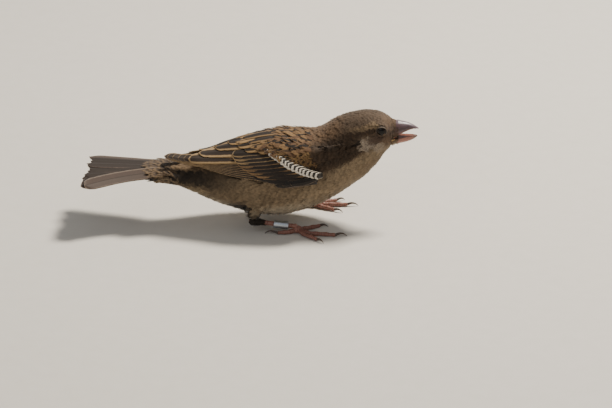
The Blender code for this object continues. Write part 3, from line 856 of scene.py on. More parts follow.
coat_tree = with_skin("tail", "bill_upper", "bill_lower", "tarsus_left", "tarsus_right")
covert_trees = {name: tree_of("wing_coverts_" + name) for name, side in SIDES}


def on_wing(points, reach=0.7):
    """Whether each point lies within reach of a wing's shoulder solid."""
    found = np.zeros(len(points), bool)
    for i, p in enumerate(points.tolist()):
        tree = covert_trees["left" if p[1] > 0 else "right"]
        found[i] = tree.find_nearest(p, reach)[0] is not None
    return found


corners = np.array([f for f in skin_faces if len(f) == 4]).repeat(2, axis=0)
u, v = rng.uniform(0, 1, (2, len(corners), 1))
SHARES = ((1 - u) * (1 - v), u * (1 - v), u * v, (1 - u) * v)


def scattered(values):
    """Values at two random places in each of the skin's faces."""
    return sum(share * values[corners[:, k]] for k, share in enumerate(SHARES))


ground, ground_normals = scattered(skin_points), unit(scattered(skin_normals))
above_ground = scattered(outer_points)
OPENING = 2.25  # radius of the bare eye opening, mm
x, y, z = ground.T
covered = on_wing(above_ground) & (x < 30.5 + 0.12 * (38.0 - z))
turn = np.degrees(np.abs(round_body(ground)))
bill_gap = np.linalg.norm((ground - mouth_corner) * [1.0, 0.75, 0.62], axis=1) < 2.85
in_bill = (x > head_high[0] - 1.2) & bill_gap
bare = covered | in_bill | (from_eye(above_ground) < OPENING) | (x < -29.0)
bare |= ground_normals[:, 0] < -0.6
face = np.maximum(
    ease(np.linalg.norm(ground - mouth_corner, axis=1), 9.0, 5.0),
    ease(from_eye(above_ground), 4.6, 3.0),
)
feather_length = 5.8 + (3.0 - 5.8) * ease(x, 33.0, 45.0)
feather_length += (1.6 - feather_length) * face
feather_length += (2.6 - feather_length) * ease(to_cuff(ground)[1], 9.0, 5.0)
mantle = (x < 31.0) & (x > -8.0) & (turn < 40.0)
kept = spread(ground, feather_length * 0.205, rng)
kept = kept[~bare[kept] & ~mantle[kept]]
print("feather roots on the body:", len(kept))

# %% [markdown]
# ## Growing the tracts
# Each tract is one piece, so that no mesh gets too heavy. The bird isn't one even colour: every
# feather is a little paler or darker than its neighbour, as worn and fresh feathers are.

# %% Growing the tracts
TRACTS = {
    "face_feathers": (x[kept] > 50.0, "crown_feathers"),
    "crown_nape_feathers": ((x[kept] <= 50.0) & (x[kept] > 33.0), "crown_feathers"),
    "breast_feathers": ((x[kept] <= 33.0) & (x[kept] > 6.0), "breast_feathers"),
    "belly_feathers": (x[kept] <= 6.0, "breast_feathers"),
}
for name, (chosen, slot) in TRACTS.items():
    picks = kept[chosen]
    fringe, centre, part = body_colours(ground[picks])
    uneven = rng.uniform(0.8, 1.16, (len(picks), 1))
    fringe[:, :3] *= uneven
    centre[:, :3] *= uneven
    look = {
        "length": feather_length[picks] * 0.86,
        "width": feather_length[picks] * 0.5,
        "depth": coat_depth(above_ground[picks]),
        "fluff": 0.12,
        "barbs": 0.28,
        "colours": (fringe, centre, part, 0.9),
    }
    body_feathers(name, ground[picks], ground_normals[picks], look, slot, rng)

# %% [markdown]
# ## Mantle and scapulars
# The back is what gives a sparrow its streaks. Feathers there are longer, and those of one lane have
# a black centre while the next lane's are plain buff, so black and buff braces run down the back.
# They lie over the upper edge of each folded wing.

# %% Streaked feathers of the back
LANE = 13.0  # degrees round the back from one black brace to the next
on_back = (x < 31.0) & (x > -7.0) & (turn < 46.0)
on_back &= ~(covered & (x < 9.0 + 0.4 * np.maximum(turn - 30.0, 0.0)))
back_points, back_normals = ground[on_back], ground_normals[on_back]
picks = spread(back_points, np.full(len(back_points), 1.3), rng)
roots, normals = back_points[picks], back_normals[picks]
chance = rng.uniform(0, 1, len(picks))
angle = np.degrees(round_body(roots))
sway = 2.5 * np.sin(roots[:, 0] * 0.35) + rng.normal(0, 1.2, len(picks))
brace = np.cos(2 * math.pi * (angle + sway) / LANE)
buff, rufous, black = linear("7E6240"), linear("573F2A"), linear("1A130D")
dark = ease(brace, -0.15, 0.4) * ease(np.abs(angle), 46.0, 38.0)
look = {
    "length": 6.2,
    "width": 2.5,
    "depth": BODY_DEPTH + 0.2 + 0.7 * ease(roots[:, 0], 27.0, 20.0),
    "fluff": 0.1,
    "barbs": 0.09,
    "colours": (
        buff + (rufous - buff) * ease(chance + 0.012 * np.abs(angle), 0.35, 1.2)[:, None],
        black + (rufous - black) * (1 - dark)[:, None],
        0.1 + 0.6 * dark,
        1.0 + 0.1 * dark,
    ),
}
body_feathers("mantle_feathers", roots, normals, look, "wing_feathers", rng)

# %% [markdown]
# ## The shell of the folded wing
# A folded wing is a stack of long feathers wrapped round the side of the body. Its outer surface is
# measured from the solids as a distance from a line through the body, for each place along the
# bird and each angle from the middle of the back. Both wings are alike, so the left one is measured
# and both are built from it. Gaps are filled from the nearest angle that met the wing.

# %% Measuring the shell
SHELL_Z = 22.0  # height of the line that the wing wraps round, mm
shell_x = np.arange(-42.0, 39.0, 1.0)
shell_turn = np.radians(np.arange(0.0, 112.0, 2.0))


def radius_at(tree, x, turn):
    """How far the solids reach from the line at one place and angle, or not a number."""
    outward = Vector((0, math.sin(turn), math.cos(turn)))
    axis_point = Vector((x, 0, SHELL_Z))
    hit = tree.ray_cast(axis_point + outward * 60, -outward)[0]
    return math.nan if hit is None else (hit - axis_point).length


wing_solids = tree_of("wing_coverts_left", "secondaries_left", "primaries_left")
shell = np.array([[radius_at(wing_solids, x, turn) for turn in shell_turn] for x in shell_x])
for row in shell:
    met = ~np.isnan(row)
    if met.any():
        row[~met] = np.interp(shell_turn[~met], shell_turn[met], row[met])
measured = ~np.isnan(shell[:, 0])
for column in shell.T:
    column[~measured] = np.interp(shell_x[~measured], shell_x[measured], column[measured])
for _ in range(4):
    padded = np.pad(shell, 1, "edge")
    shell = (padded[:-2, 1:-1] + padded[2:, 1:-1] + padded[1:-1, :-2] + padded[1:-1, 2:]) / 4
print("shell of the wing:", shell.min().round(1), "to", shell.max().round(1), "mm")


def shell_radius(x, turn):
    """The shell's radius at any place, from the four measured neighbours."""
    i = np.clip((x - shell_x[0]) / 1.0, 0, len(shell_x) - 1.001)
    j = np.clip(turn / math.radians(2.0), 0, len(shell_turn) - 1.001)
    i0, j0 = i.astype(int), j.astype(int)
    u, v = i - i0, j - j0
    near = shell[i0, j0] * (1 - v) + shell[i0, j0 + 1] * v
    far = shell[i0 + 1, j0] * (1 - v) + shell[i0 + 1, j0 + 1] * v
    return near * (1 - u) + far * u


# %% [markdown]
# ## One big feather
# A wing or tail feather is drawn as a closed sheet a tenth of a millimetre thick: a grid along and
# across the vane, a little domed, with a raised shaft. Its path is a smooth line through a few
# places on the shell, and its lower edge lies over the next feather's upper edge, so that the
# stack shows one rim after another. Now and then the barbs part, which leaves a small notch.

# %% The sheet of a big feather
SHEET = 0.12  # thickness of a vane, mm
ACROSS = np.array([-1.0, -0.8, -0.45, -0.1, 0.0, 0.1, 0.45, 0.8, 1.0])


def along_rows(count):
    """Places along a feather, closer together at the rounded tip."""
    return 1 - (1 - np.linspace(0.0, 1.0, count)) ** 1.6


def outline(s, start, round_from):
    """Half width along a big feather, as a share of the widest."""
    opening = start + (1 - start) * ease(s, 0.0, 0.45)
    rounding = np.sqrt(np.maximum(1 - (np.maximum(s - round_from, 0) / (1.0 - round_from)) ** 2.2, 0))
    return opening * np.maximum(rounding, 0.07)


def sheet_faces(rows, columns):
    """Top and bottom faces of a closed sheet whose rim points are shared."""
    top = np.arange(rows * columns).reshape(rows, columns)
    bottom = top.copy()
    inner = (rows - 2) * (columns - 2)
    bottom[1:-1, 1:-1] = rows * columns + np.arange(inner).reshape(rows - 2, columns - 2)
    faces = []
    for grid, turned in ((top, False), (bottom, True)):
        a, b, c, d = grid[:-1, :-1], grid[:-1, 1:], grid[1:, 1:], grid[1:, :-1]
        corners = (d, c, b, a) if turned else (a, b, c, d)
        faces += np.stack([k.ravel() for k in corners], 1).tolist()
    return faces


def closed_sheet(top, inward, t, s):
    """Points of a closed sheet under its top grid, with each one's place across and along."""
    bottom = (top + inward * SHEET)[1:-1, 1:-1]
    points = np.concatenate([top.reshape(-1, 3), bottom.reshape(-1, 3)])
    grids = (np.broadcast_to(values, top.shape[:2]) for values in (t, s[:, None]))
    return points, *(np.concatenate([g.ravel(), g[1:-1, 1:-1].ravel()]) for g in grids)


def smooth_path(places, s, weights=1.0):
    """A smooth curve through places, at shares s of its length. weights: mm in one unit."""
    places = np.asarray(places, float)
    steps = np.linalg.norm(np.diff(places, axis=0) * weights, axis=1)
    knots = np.concatenate([[0.0], np.cumsum(steps)]) / steps.sum()
    fine = np.linspace(0, 1, 101)
    curve = np.column_stack([np.interp(fine, knots, column) for column in places.T])
    for _ in range(60 if len(places) > 2 else 0):
        curve[1:-1] = (curve[:-2] + 2 * curve[1:-1] + curve[2:]) / 4
    return np.column_stack([np.interp(s, fine, column) for column in curve.T])


# %% [markdown]
# ## Laying a feather on the wing
# A wing feather follows its path over the shell. The sheet is wider below its shaft or above it,
# a little rolled, so that one edge rises over the neighbour, and a little domed. Its edge is
# slightly uneven, and its tip is rounded and bulges forward.

# %% A feather of the wing


def wing_feather(path, half, lift, rng, rows=14, roll=0.22, dome=0.25, start=0.5, round_from=0.72):
    """One feather on the shell. path: (x, degrees) places. half: upper and lower half width.
    lift: height over the shell at root and tip. Returns points, across and along values."""
    s = along_rows(rows)
    middle = smooth_path(path, s, weights=(1.0, 0.3))
    x, turn = middle[:, 0], np.radians(middle[:, 1])
    radius = shell_radius(x, turn)
    dx, dq = np.gradient(x), np.gradient(turn) * radius
    size = np.hypot(dx, dq)
    t = ACROSS[None, :]
    widths = np.where(t < 0, half[0], half[1]) * outline(s, start, round_from)[:, None]
    widths = widths * (1 + rng.normal(0, 0.012, (rows, len(ACROSS))) * (np.abs(t) > 0.9))
    if rng.uniform() < 0.45:
        row = rng.integers(rows // 2, rows - 2)
        widths[row, -1] *= 0.86
    reach = t * widths
    grid_x = x[:, None] + reach * (dq / size)[:, None]
    tip_bulge = 0.16 * min(half) * (1 - t ** 2) * ease(s, 0.7, 1.0)[:, None]
    grid_x = grid_x + tip_bulge * (dx / size)[:, None]
    grid_turn = turn[:, None] + (reach * (-dx / size)[:, None]) / radius[:, None]
    height = lift[0] + (lift[1] - lift[0]) * ease(s, 0.0, 0.8)[:, None]
    height = height - 0.4 + 1.1 * ease(grid_x, -16.0, -30.0) + roll * t - dome * t ** 2 + 0.10 * (t == 0)
    r = shell_radius(grid_x, np.maximum(grid_turn, 0)) + height
    top = np.stack([grid_x, r * np.sin(grid_turn), SHELL_Z + r * np.cos(grid_turn)], -1)
    inward = np.stack([0 * grid_x, -np.sin(grid_turn), -np.cos(grid_turn)], -1)
    return *closed_sheet(top, inward, t, s), rows, size.sum()


# %% [markdown]
# ## Joining big feathers
# All feathers of one row become one mesh. Each gets a patch of its own on the map, in a grid of
# equal cells, because a big feather carries more detail than a tuft.

# %% Feathers in one piece
TIP_SINK = 1.4  # how far the lower wing's tip is pressed down by the other, mm
CELL_SHARE = 0.86  # of its cell on the map that a feather fills


def feather_piece(name, feathers, side, looks, slot, sink_tip=False):
    """Joins big feathers in one piece. looks: one (fringe, centre, part, tip) for each feather.
    sink_tip lowers the wing's tip, for the wing that lies under the other one."""
    points, faces, vane, size, marks, fringes, centres, maps = [], [], [], [], [], [], [], []
    first = 0
    columns = math.ceil(math.sqrt(len(feathers)))
    cells = np.array([columns, math.ceil(len(feathers) / columns)])
    for k, (feather, look) in enumerate(zip(feathers, looks)):
        place, t, s, rows, length = feather
        place = place * [1.0, side, 1.0]
        place[:, 2] -= TIP_SINK * sink_tip * ease(place[:, 0], -8.0, -24.0)
        made = sheet_faces(rows, len(ACROSS))
        faces += [[first + i for i in (f if side > 0 else f[::-1])] for f in made]
        first += len(place)
        chance = np.full(len(t), (k * 0.618) % 1.0)
        points.append(place)
        vane.append(np.column_stack([t, s, chance]))
        size.append(np.tile([2.5, length, 0.0], (len(t), 1)))
        fringe, centre, part, tip = look
        marks.append(np.tile([part, tip, 0.0], (len(t), 1)))
        fringes.append(np.tile(linear(fringe), (len(t), 1)))
        centres.append(np.tile(linear(centre), (len(t), 1)))
        cell = np.array([k % columns, k // columns]) + 0.5
        maps.append((cell + np.column_stack([t, 2 * s - 1]) * CELL_SHARE / 2) / cells)
    piece = make_piece(name, np.concatenate(points), faces, vane_keratin, slot)
    store_feathers(piece, *(np.concatenate(a) for a in (vane, size, marks, fringes, centres)))
    store_map(piece, np.concatenate(maps))
    print(name + ":", len(feathers), "feathers,", len(faces), "faces")
    return piece


# %% [markdown]
# ## Primaries and secondaries
# Nine primaries and six secondaries fold into a stack like a fan. The lowest primary draws the
# wing's lower edge, and each feather above it is a little shorter and leaves only the rim of the
# one below in sight. Rims are pale buff and the vanes dark grey-brown.

# %% Flight feathers of the wing
LOWER_EDGE = np.array([(16, 85), (8, 79.5), (0, 76), (-10, 68.5), (-20, 51), (-28, 33), (-36.5, 13)])
STACK_FAN = np.array([(-36, 0.03), (-28, 0.12), (-20, 0.36), (-10, 0.75), (0, 1.0), (16, 1.0)])


def stack_path(rise, x_start, x_end, tip_rise=0.0):
    """A line that stays a number of millimetres above the wing's lower edge, closing to the tip."""
    x = np.linspace(x_start, x_end, 12)
    low = np.interp(x, LOWER_EDGE[::-1, 0], LOWER_EDGE[::-1, 1])
    fan = np.interp(x, STACK_FAN[:, 0], STACK_FAN[:, 1])
    radius = shell_radius(x, np.radians(low))
    turn = low - np.degrees(rise * fan / radius) - tip_rise * ease(x, x_end + 8, x_end)
    return np.column_stack([x, turn])


PRIMARY_TIPS = (-35.6, -36.4, -35.2, -33.0, -30.6, -28.2, -25.8, -23.6, -21.6)
SECONDARY_TIPS = (-17.5, -17.0, -16.2, -15.2, -14.0, -12.5)
flight_feathers = []
flight_looks = []
for k, tip_x in enumerate(PRIMARY_TIPS):
    path = stack_path(1.15 + 1.0 * k, 16.0, tip_x, tip_rise=0.4 * k)
    level = -0.75 + 0.075 * k
    flight_feathers.append(
        wing_feather(path, (2.9, 1.4), (level, level + 0.15), rng, 26, roll=0.1, dome=0.12, round_from=0.95)
    )
    flight_looks.append(("8E7553", "2E241C", 0.84, 0.988))
for k, tip_x in enumerate(SECONDARY_TIPS):
    path = stack_path(10.2 + 1.15 * k, 18.0, tip_x, tip_rise=1.2)
    level = -0.1 + 0.06 * k
    flight_feathers.append(
        wing_feather(path, (3.2, 1.5), (level, level + 0.15), rng, 20, roll=0.12, dome=0.15, round_from=0.88)
    )
    flight_looks.append(("836643", "2A2018", 0.70, 0.982))
print("primaries:", len(PRIMARY_TIPS), "secondaries:", len(SECONDARY_TIPS))

# %% [markdown]
# ## Tertials
# The three innermost feathers of the arm cover the rest of the folded wing. They are broad and
# black-brown with wide buff rims, and the sun bleaches them first.

# %% Tertials
# each one's path, half widths, lift at root and tip, where its tip rounds, and its two colours
TERTIALS = (
    (((12, 44), (0, 42.5), (-14, 38), (-26, 31)), (3.8, 2.7), (-0.5, 0.3), 0.85, "9C8059", "2C2118", 0.62),
    (((13, 34), (2, 31.5), (-10, 26), (-21.5, 17)), (3.8, 3.0), (-0.4, 0.5), 0.84, "A0845E", "261C14", 0.60),
    (((13, 24), (4, 20.5), (-5, 15), (-14.5, 8)), (3.6, 3.2), (-0.3, 0.7), 0.82, "967A55", "221810", 0.60),
    (((12, 14), (5, 11), (-3, 7), (-9, 2)), (3.2, 3.2), (-0.2, 0.85), 0.80, "8F724C", "1E150E", 0.58),
)
tertials, tertial_looks = [], []
for path, half, lift, round_from, fringe, centre, part in TERTIALS:
    tertials.append(wing_feather(path, half, lift, rng, 20, round_from=round_from))
    tertial_looks.append((fringe, centre, part, 0.97))
print("tertials:", len(tertials))

# %% [markdown]
# ## Greater and median coverts
# Two rows of coverts roof the bases of the flight feathers. The greater coverts are dark with buff
# rims. The median coverts are black with white tips, which together draw the sparrow's wing bar.

# %% Two rows of coverts
GREATER_TIPS = np.array([
    (-7.2, 34), (-7.0, 40.5), (-6.2, 46.5), (-5, 52.5), (-3.3, 58), (-1, 63), (2, 67.5), (5.5, 71.5),
    (9.5, 75)
])
MEDIAN_LINE = np.array([
    (6.4, 37.5), (7.6, 41), (9.4, 46), (11.8, 51.5), (14.4, 57.5), (17.6, 62.5), (21.0, 66.5),
    (24, 69.5), (27.6, 72)
])
greater, greater_looks = [], []
for k, (x, turn) in enumerate(GREATER_TIPS):
    share = k / 8
    root = (10.6 + 15.6 * share, 36 + 36 * share)
    bend = ((x + root[0]) / 2, (turn + root[1]) / 2 + 1.5)
    level = 0.74 - 0.055 * k
    upper_half = 2.9 if k else 4.2
    greater.append(
        wing_feather(
            [root, bend, (x, turn)], (upper_half, 2.1), (level - 0.75, level), rng, 16, start=0.6,
            round_from=0.8,
        )
    )
    greater_looks.append(("977C56" if k < 3 else "785D3D", "20170F", 0.62 - 0.012 * k, 0.96))
MEDIANS = 17
median, median_looks = [], []
for k in range(MEDIANS):
    place = k / (MEDIANS - 1) * (len(MEDIAN_LINE) - 1)
    x, turn = (np.interp(place, range(len(MEDIAN_LINE)), column) for column in MEDIAN_LINE.T)
    x = x + rng.uniform(-0.25, 0.25)
    level = 0.95 - 0.018 * k
    sunk = level - 2.4 - 1.9 * ease(k, 9.0, 16.0)
    root = (min(x + 6.6 - 0.08 * k, 32.4), turn - 7.0 + 0.3 * k)
    median.append(
        wing_feather([root, (x, turn)], (1.7, 1.15), (sunk, level), rng, 12, 0.1, 0.1, start=0.6)
    )
    median_looks.append(("CFC5B5", "15100C", 0.88, 0.77))
print("greater coverts:", len(greater), "median coverts:", len(median))

# %% [markdown]
# ## Primary coverts and the bastard wing
# Along the wing's lower front edge lie the short black primary coverts, and over them the alula,
# three stiff feathers on the bird's thumb.

# %% Primary coverts and alula
hand, hand_looks = [], []
for k in range(5):
    tip = (2.0 + 2.6 * k, 73.0 + 2.0 * k)
    root = (24.0 + 1.2 * k, 77.0 + 0.8 * k)
    hand.append(wing_feather([root, tip], (1.9, 1.3), (-0.3 + 0.05 * k, 0.3 + 0.07 * k), rng, 12, start=0.6))
    hand_looks.append(("4A3A2B", "1A1410", 0.86, 0.97))
for k in range(3):
    tip = (11.0 + 3.2 * k, 83.0 - 1.2 * k)
    root = (29.0, 76.0 - 1.0 * k)
    path = [root, ((root[0] + tip[0]) / 2, (root[1] + tip[1]) / 2 + 1.5), tip]
    hand.append(wing_feather(path, (1.7, 1.4), (0.1 + 0.1 * k, 0.6 + 0.12 * k), rng, 12, start=0.6))
    hand_looks.append(("5C4936", "17110D", 0.88, 0.97))
print("hand coverts:", len(hand))

# %% [markdown]
# ## Scapulars
# Long feathers grow from the shoulder and close the gap between back and wing. Each has a black
# streak and buff sides, and their tips lie over the tertials.

# %% Scapulars
scapulars, scapular_looks = [], []
SCAPULARS = (
    ((19, 4), (-2.5, 1), 2.5, 0.50), ((16, 10), (-6.0, 8.5), 2.4, 0.15), ((20, 15), (-1.0, 14), 2.3, 0.55),
    ((17, 20), (-5.0, 19.5), 2.6, 0.45), ((20, 25), (0.0, 25), 2.4, 0.12), ((19, 29), (-2.0, 30), 2.3, 0.50),
    ((21, 34), (3.5, 35), 2.2, 0.20), ((22, 37), (7.5, 39), 2.0, 0.10),
)
for k, (root, tip, half, streak) in enumerate(SCAPULARS):
    level = 1.05 - 0.04 * k
    path = [root, ((root[0] + tip[0]) / 2, (root[1] + tip[1]) / 2 - 0.8), tip]
    scapulars.append(
        wing_feather(path, (half, half), (level - 1.7, level), rng, 16, start=0.6, round_from=0.78)
    )
    scapular_looks.append(("8F724C" if k % 2 else "7A603F", "1F160F", streak, 1.02))
print("scapulars:", len(scapulars))

# %% [markdown]
# ## Both wings
# The same rows are built for the left wing and mirrored for the right. On the back the tip of one
# wing lies over the other's, so the left one is pressed down a little.

# %% Both wings
WING_SETS = (
    ("wing_quills", flight_feathers, flight_looks, "flight_feathers", ("primaries_", "secondaries_")),
    ("tertials", tertials, tertial_looks, "flight_feathers", ("secondaries_",)),
    ("greater_coverts", greater, greater_looks, "wing_feathers", ()),
    ("median_coverts", median, median_looks, "wing_feathers", ()),
    ("hand_coverts", hand, hand_looks, "wing_feathers", ()),
    ("scapulars", scapulars, scapular_looks, "wing_feathers", ()),
)
for side_name, side in SIDES:
    for set_name, feathers, looks, slot, nodes in WING_SETS:
        piece = feather_piece(set_name + "_" + side_name, feathers, side, looks, slot, side > 0)
        for node in nodes:
            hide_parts(node + side_name)

# %% [markdown]
# ## The small coverts of the shoulder
# In front of the wing bar the wing is clad in small warm brown coverts, and their last row lies over
# the black roots of the median coverts.

# %% Lesser coverts
x, y, z = ground.T
wing_turn = np.degrees(np.arctan2(np.abs(y), z - SHELL_Z))
bar_x = np.interp(wing_turn, MEDIAN_LINE[:, 1], MEDIAN_LINE[:, 0])
ahead_of_bar = 5.6 - 1.6 * ease(wing_turn, 62.0, 72.0)
shoulder = covered & (x > bar_x + ahead_of_bar) & (wing_turn > 22) & (wing_turn < 78)
bend = covered & (x > 28.0) & (wing_turn > 60) & (wing_turn < 104)
shoulder = np.flatnonzero(shoulder | bend)
picks = shoulder[spread(ground[shoulder], np.full(len(shoulder), 0.95), rng)]
chance = rng.uniform(0, 1, len(picks))[:, None]
warm = linear("654C32") + (linear("7A603D") - linear("654C32")) * chance
to_bar = ease(x[picks] - bar_x[picks], 9.0, 5.0) * ease(x[picks], 34.0, 30.0)
look = {
    "length": 4.2,
    "width": 2.5,
    "depth": BODY_DEPTH - 0.1 + 1.35 * np.maximum(to_bar, 1.15 * bend[picks]),
    "fluff": 0.08,
    "barbs": 0.09,
    "colours": (
        warm + (linear("4A3927") - warm) * ease(wing_turn[picks], 52.0, 70.0)[:, None],
        np.tile(linear("382919"), (len(picks), 1)),
        0.25 + 0.3 * rng.uniform(0, 1, len(picks)) ** 2,
        0.86,
    ),
}
body_feathers("lesser_coverts", ground[picks], ground_normals[picks], look, "wing_feathers", rng)

# %% [markdown]
# ## The tail
# Twelve rectrices grow from the tail's root like the sticks of a fan. The central pair lies on top,
# and each feather beyond it slips under its inner neighbour. The fan is half open, so that each
# feather shows a strip and its own rounded tip. They are grey-brown with a thin pale rim.

# %% The line of the tail
TAIL_LINE = np.array([(-18, 25.4), (-35, 24.3), (-45, 23.7), (-55, 23.2), (-65, 22.7), (-72, 22.4)])
TAIL_TILT = 0.05  # how much higher the left side of the fan is, mm per mm
# each feather's tip (x, y), how late it flares, its tilt across and its layer, from right to left
RECTRICES = (
    (-70.0, -13.8, 3.0, 1.0, 11), (-71.6, -11.8, 3.0, 0.5, 1), (-71.2, -9.0, 3.0, 0.4, 3),
    (-71.2, -5.2, 2.4, 0.3, 5), (-70.4, -2.6, 2.0, 0.2, 7), (-69.2, 1.2, 1.6, 0.0, 9),
    (-68.6, 3.2, 1.5, 0.0, 10), (-69.4, 6.8, 1.3, -0.1, 8), (-69.8, 8.8, 1.2, -0.2, 6),
    (-68.4, 12.0, 1.1, -0.2, 4), (-68.4, 15.2, 1.0, -0.2, 2), (-69.2, 17.3, 1.0, -0.2, 0),
)


def tail_height(x, y):
    """The level of the fan, which tilts a little toward the right."""
    return np.interp(-x, -TAIL_LINE[:, 0], TAIL_LINE[:, 1]) + TAIL_TILT * y * ease(x, -25.0, -50.0)


def flat_feather(places, half, rng, rows=20, roll=0.0, dome=0.35, start=0.5, round_from=0.85):
    """A closed sheet along places in space, lying level."""
    s = along_rows(rows)
    middle = smooth_path(places, s)
    ahead = unit(np.gradient(middle, axis=0))
    across = unit(np.cross([0, 0, -1.0], ahead))
    above = np.cross(across, ahead)
    t = ACROSS[None, :]
    widths = np.where(t < 0, half[0], half[1]) * outline(s, start, round_from)[:, None]
    widths = widths * (1 + rng.normal(0, 0.012, (rows, len(ACROSS))) * (np.abs(t) > 0.9))
    if rng.uniform() < 0.5:
        widths[rng.integers(rows // 2, rows - 3), 0 if rng.uniform() < 0.5 else -1] *= 0.88
    bulge = 0.16 * min(half) * (1 - t ** 2) * ease(s, 0.7, 1.0)[:, None]
    height = roll * t - dome * t ** 2 + 0.1 * (t == 0)
    top = middle[:, None] + across[:, None] * (t * widths)[..., None]
    top = top + above[:, None] * height[..., None] + ahead[:, None] * bulge[..., None]
    length = np.linalg.norm(np.diff(middle, axis=0), axis=1).sum()
    return *closed_sheet(top, -above[:, None], t, s), rows, length


# %% [markdown]
# ## Twelve tail feathers
# Each feather leaves the root close to the middle and flares out to its own tip. The outermost
# ones at each side are painted paler as painted light, and the others darker, partly as painted
# shade between the feathers.

# %% The fan of the tail
FAN_ROOT = -20.0  # x of the feathers' roots, mm
rectrices, rectrix_looks = [], []
for k, (tip_x, tip_y, flare, roll, layer) in enumerate(RECTRICES):
    s = np.linspace(0, 1, 12)
    x = FAN_ROOT + (tip_x - FAN_ROOT) * s
    root_y = 0.22 * tip_y
    y = root_y + (tip_y - root_y) * s ** flare
    places = np.column_stack([x, y, tail_height(x, y) + 0.09 * (layer - 5.5) + rng.normal(0, 0.1) * s])
    half = (3.6, 4.2) if k < 6 else (4.2, 3.5)
    rectrices.append(flat_feather(places, half, rng, 24, roll=roll, dome=0.3, round_from=0.9))
    # painted light: the two outermost feathers are paler, and the others darker partly as painted shade
    painted_lit_outer = k in (0, 11)
    rectrix_looks.append(("8A7767" if painted_lit_outer else "76655A", "483B33" if painted_lit_outer else "2A211B", 0.86, 0.988))
tail_piece = feather_piece("tail_feathers", rectrices, 1.0, rectrix_looks, "flight_feathers")
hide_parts("tail")

# %% [markdown]
# ## Tail coverts
# Above, below and at the sides, the roots of the tail are hidden by soft coverts. The upper ones
# are brown with buff rims and the lower ones are pale. They lie straight back, and a last rule keeps
# them on their own side of the fan.

# %% Tail coverts


def off_the_fan(lift, facing):
    """A rule that keeps points above (facing 1) or below (-1) the fan by lift, past the body's end."""
    def keep(points):
        x, y, z = points[..., 0], points[..., 1], points[..., 2]
        least = tail_height(x, y) + facing * (lift - 5.0 * ease(x, -35.0, -27.0))
        held = np.maximum(z, least) if facing > 0 else np.minimum(z, least)
        return np.stack([x, y, held], -1)
    return keep


def tail_coverts(name, facing, lift, spacing, colours, part):
    """Long soft feathers from the end of the body over one face of the tail."""
    x, level = ground[:, 0], ground_normals[:, 2]
    faces_so = (level * facing > -0.02) if facing else (np.abs(level) < 0.45) & (x < -26.0)
    chosen = np.flatnonzero((x < -20.0) & (x > -37.5) & faces_so)
    picks = chosen[spread(ground[chosen], np.full(len(chosen), spacing), rng)]
    roots, normals = ground[picks], ground_normals[picks]
    ahead = np.column_stack([-np.ones(len(picks)), 0.02 * roots[:, 1], np.zeros(len(picks))])
    ahead = ahead + rng.normal(0, 0.05, ahead.shape)
    chance = rng.uniform(0, 1, len(picks))[:, None]
    fringe, pale, centre = (linear(colour) for colour in colours)
    middle_length = 8.0 - 0.25 * np.abs(roots[:, 1])
    look = {
        "length": 4.5 + (middle_length - 4.5) * ease(roots[:, 0], -26.0, -36.0) * abs(facing),
        "width": 3.0,
        "depth": BODY_DEPTH - 0.2 - 0.9 * ease(roots[:, 0], -28.0, -37.0),
        "fluff": 0.15,
        "barbs": 0.12,
        "ahead": unit(ahead - normals * (ahead * normals).sum(1)[:, None]),
        "over": None,
        "keep": off_the_fan(lift, facing) if facing else np.copy,
        "colours": (fringe + (pale - fringe) * chance, np.tile(centre, (len(picks), 1)), part, 0.93),
    }
    body_feathers(name, roots, normals, look, "breast_feathers", rng)


tail_coverts("uppertail_coverts", 1, 0.5, 1.2, ("554432", "6E5A42", "372B22"), 0.6)
tail_coverts("tail_side_coverts", 0, 0.0, 1.0, ("5C4D3C", "6A5A46", "42372C"), 0.4)
tail_coverts("undertail_coverts", -1, 0.6, 1.2, ("6F5F4B", "7D6D57", "54463A"), 0.35)

# %% [markdown]
# ## Eyes
# A sparrow's eye is almost all pupil and very dark brown iris under a clear, wet cornea. Only the
# front cap shows between the lids, so the ball sits deep in the head. The lids are a thin ring of
# grey-brown skin that hugs the ball, with a fringe of tiny pale feathers round it.

# %% Finish of the eye
eye_material, tree, shader = new_material(
    "wet_dark_eye", Roughness=0.06, Specular_IOR_Level=0.32, IOR=1.376
)
zone = add(tree, "Attribute", attribute_name="zone")["Vector"]
out = add(tree, "SeparateXYZ", {0: zone})
# patches of the iris are about a millimetre across
iris_noise = add(tree, "TexNoise", {"Scale": 0.9 / MM, "Detail": 3.0})[0]
iris = add(tree, "Mix", {0: iris_noise, 6: "0C0603", 7: "1D1109"}, **MIXED)[2]
past_pupil = add(tree, "MapRange", [out[0], 0.33, 0.37], **EASED)[0]
eye_colour = add(tree, "Mix", {0: past_pupil, 6: "030303", 7: iris}, **MIXED)[2]
past_iris = add(tree, "MapRange", [out[0], 0.5, 0.56], **EASED)[0]
eye_colour = add(tree, "Mix", {0: past_iris, 6: eye_colour, 7: "0E0806"}, **MIXED)[2]
tree.links.new(eye_colour, shader.inputs["Base Color"])
print("made", eye_material.name)

# %% [markdown]
# ## Eyelid skin
# The lid is bare skin covered in tiny beads, dark where it touches the wet ball and paler outside.
# The beads are about 0.2 mm apart, and as a relief they break up its shine.

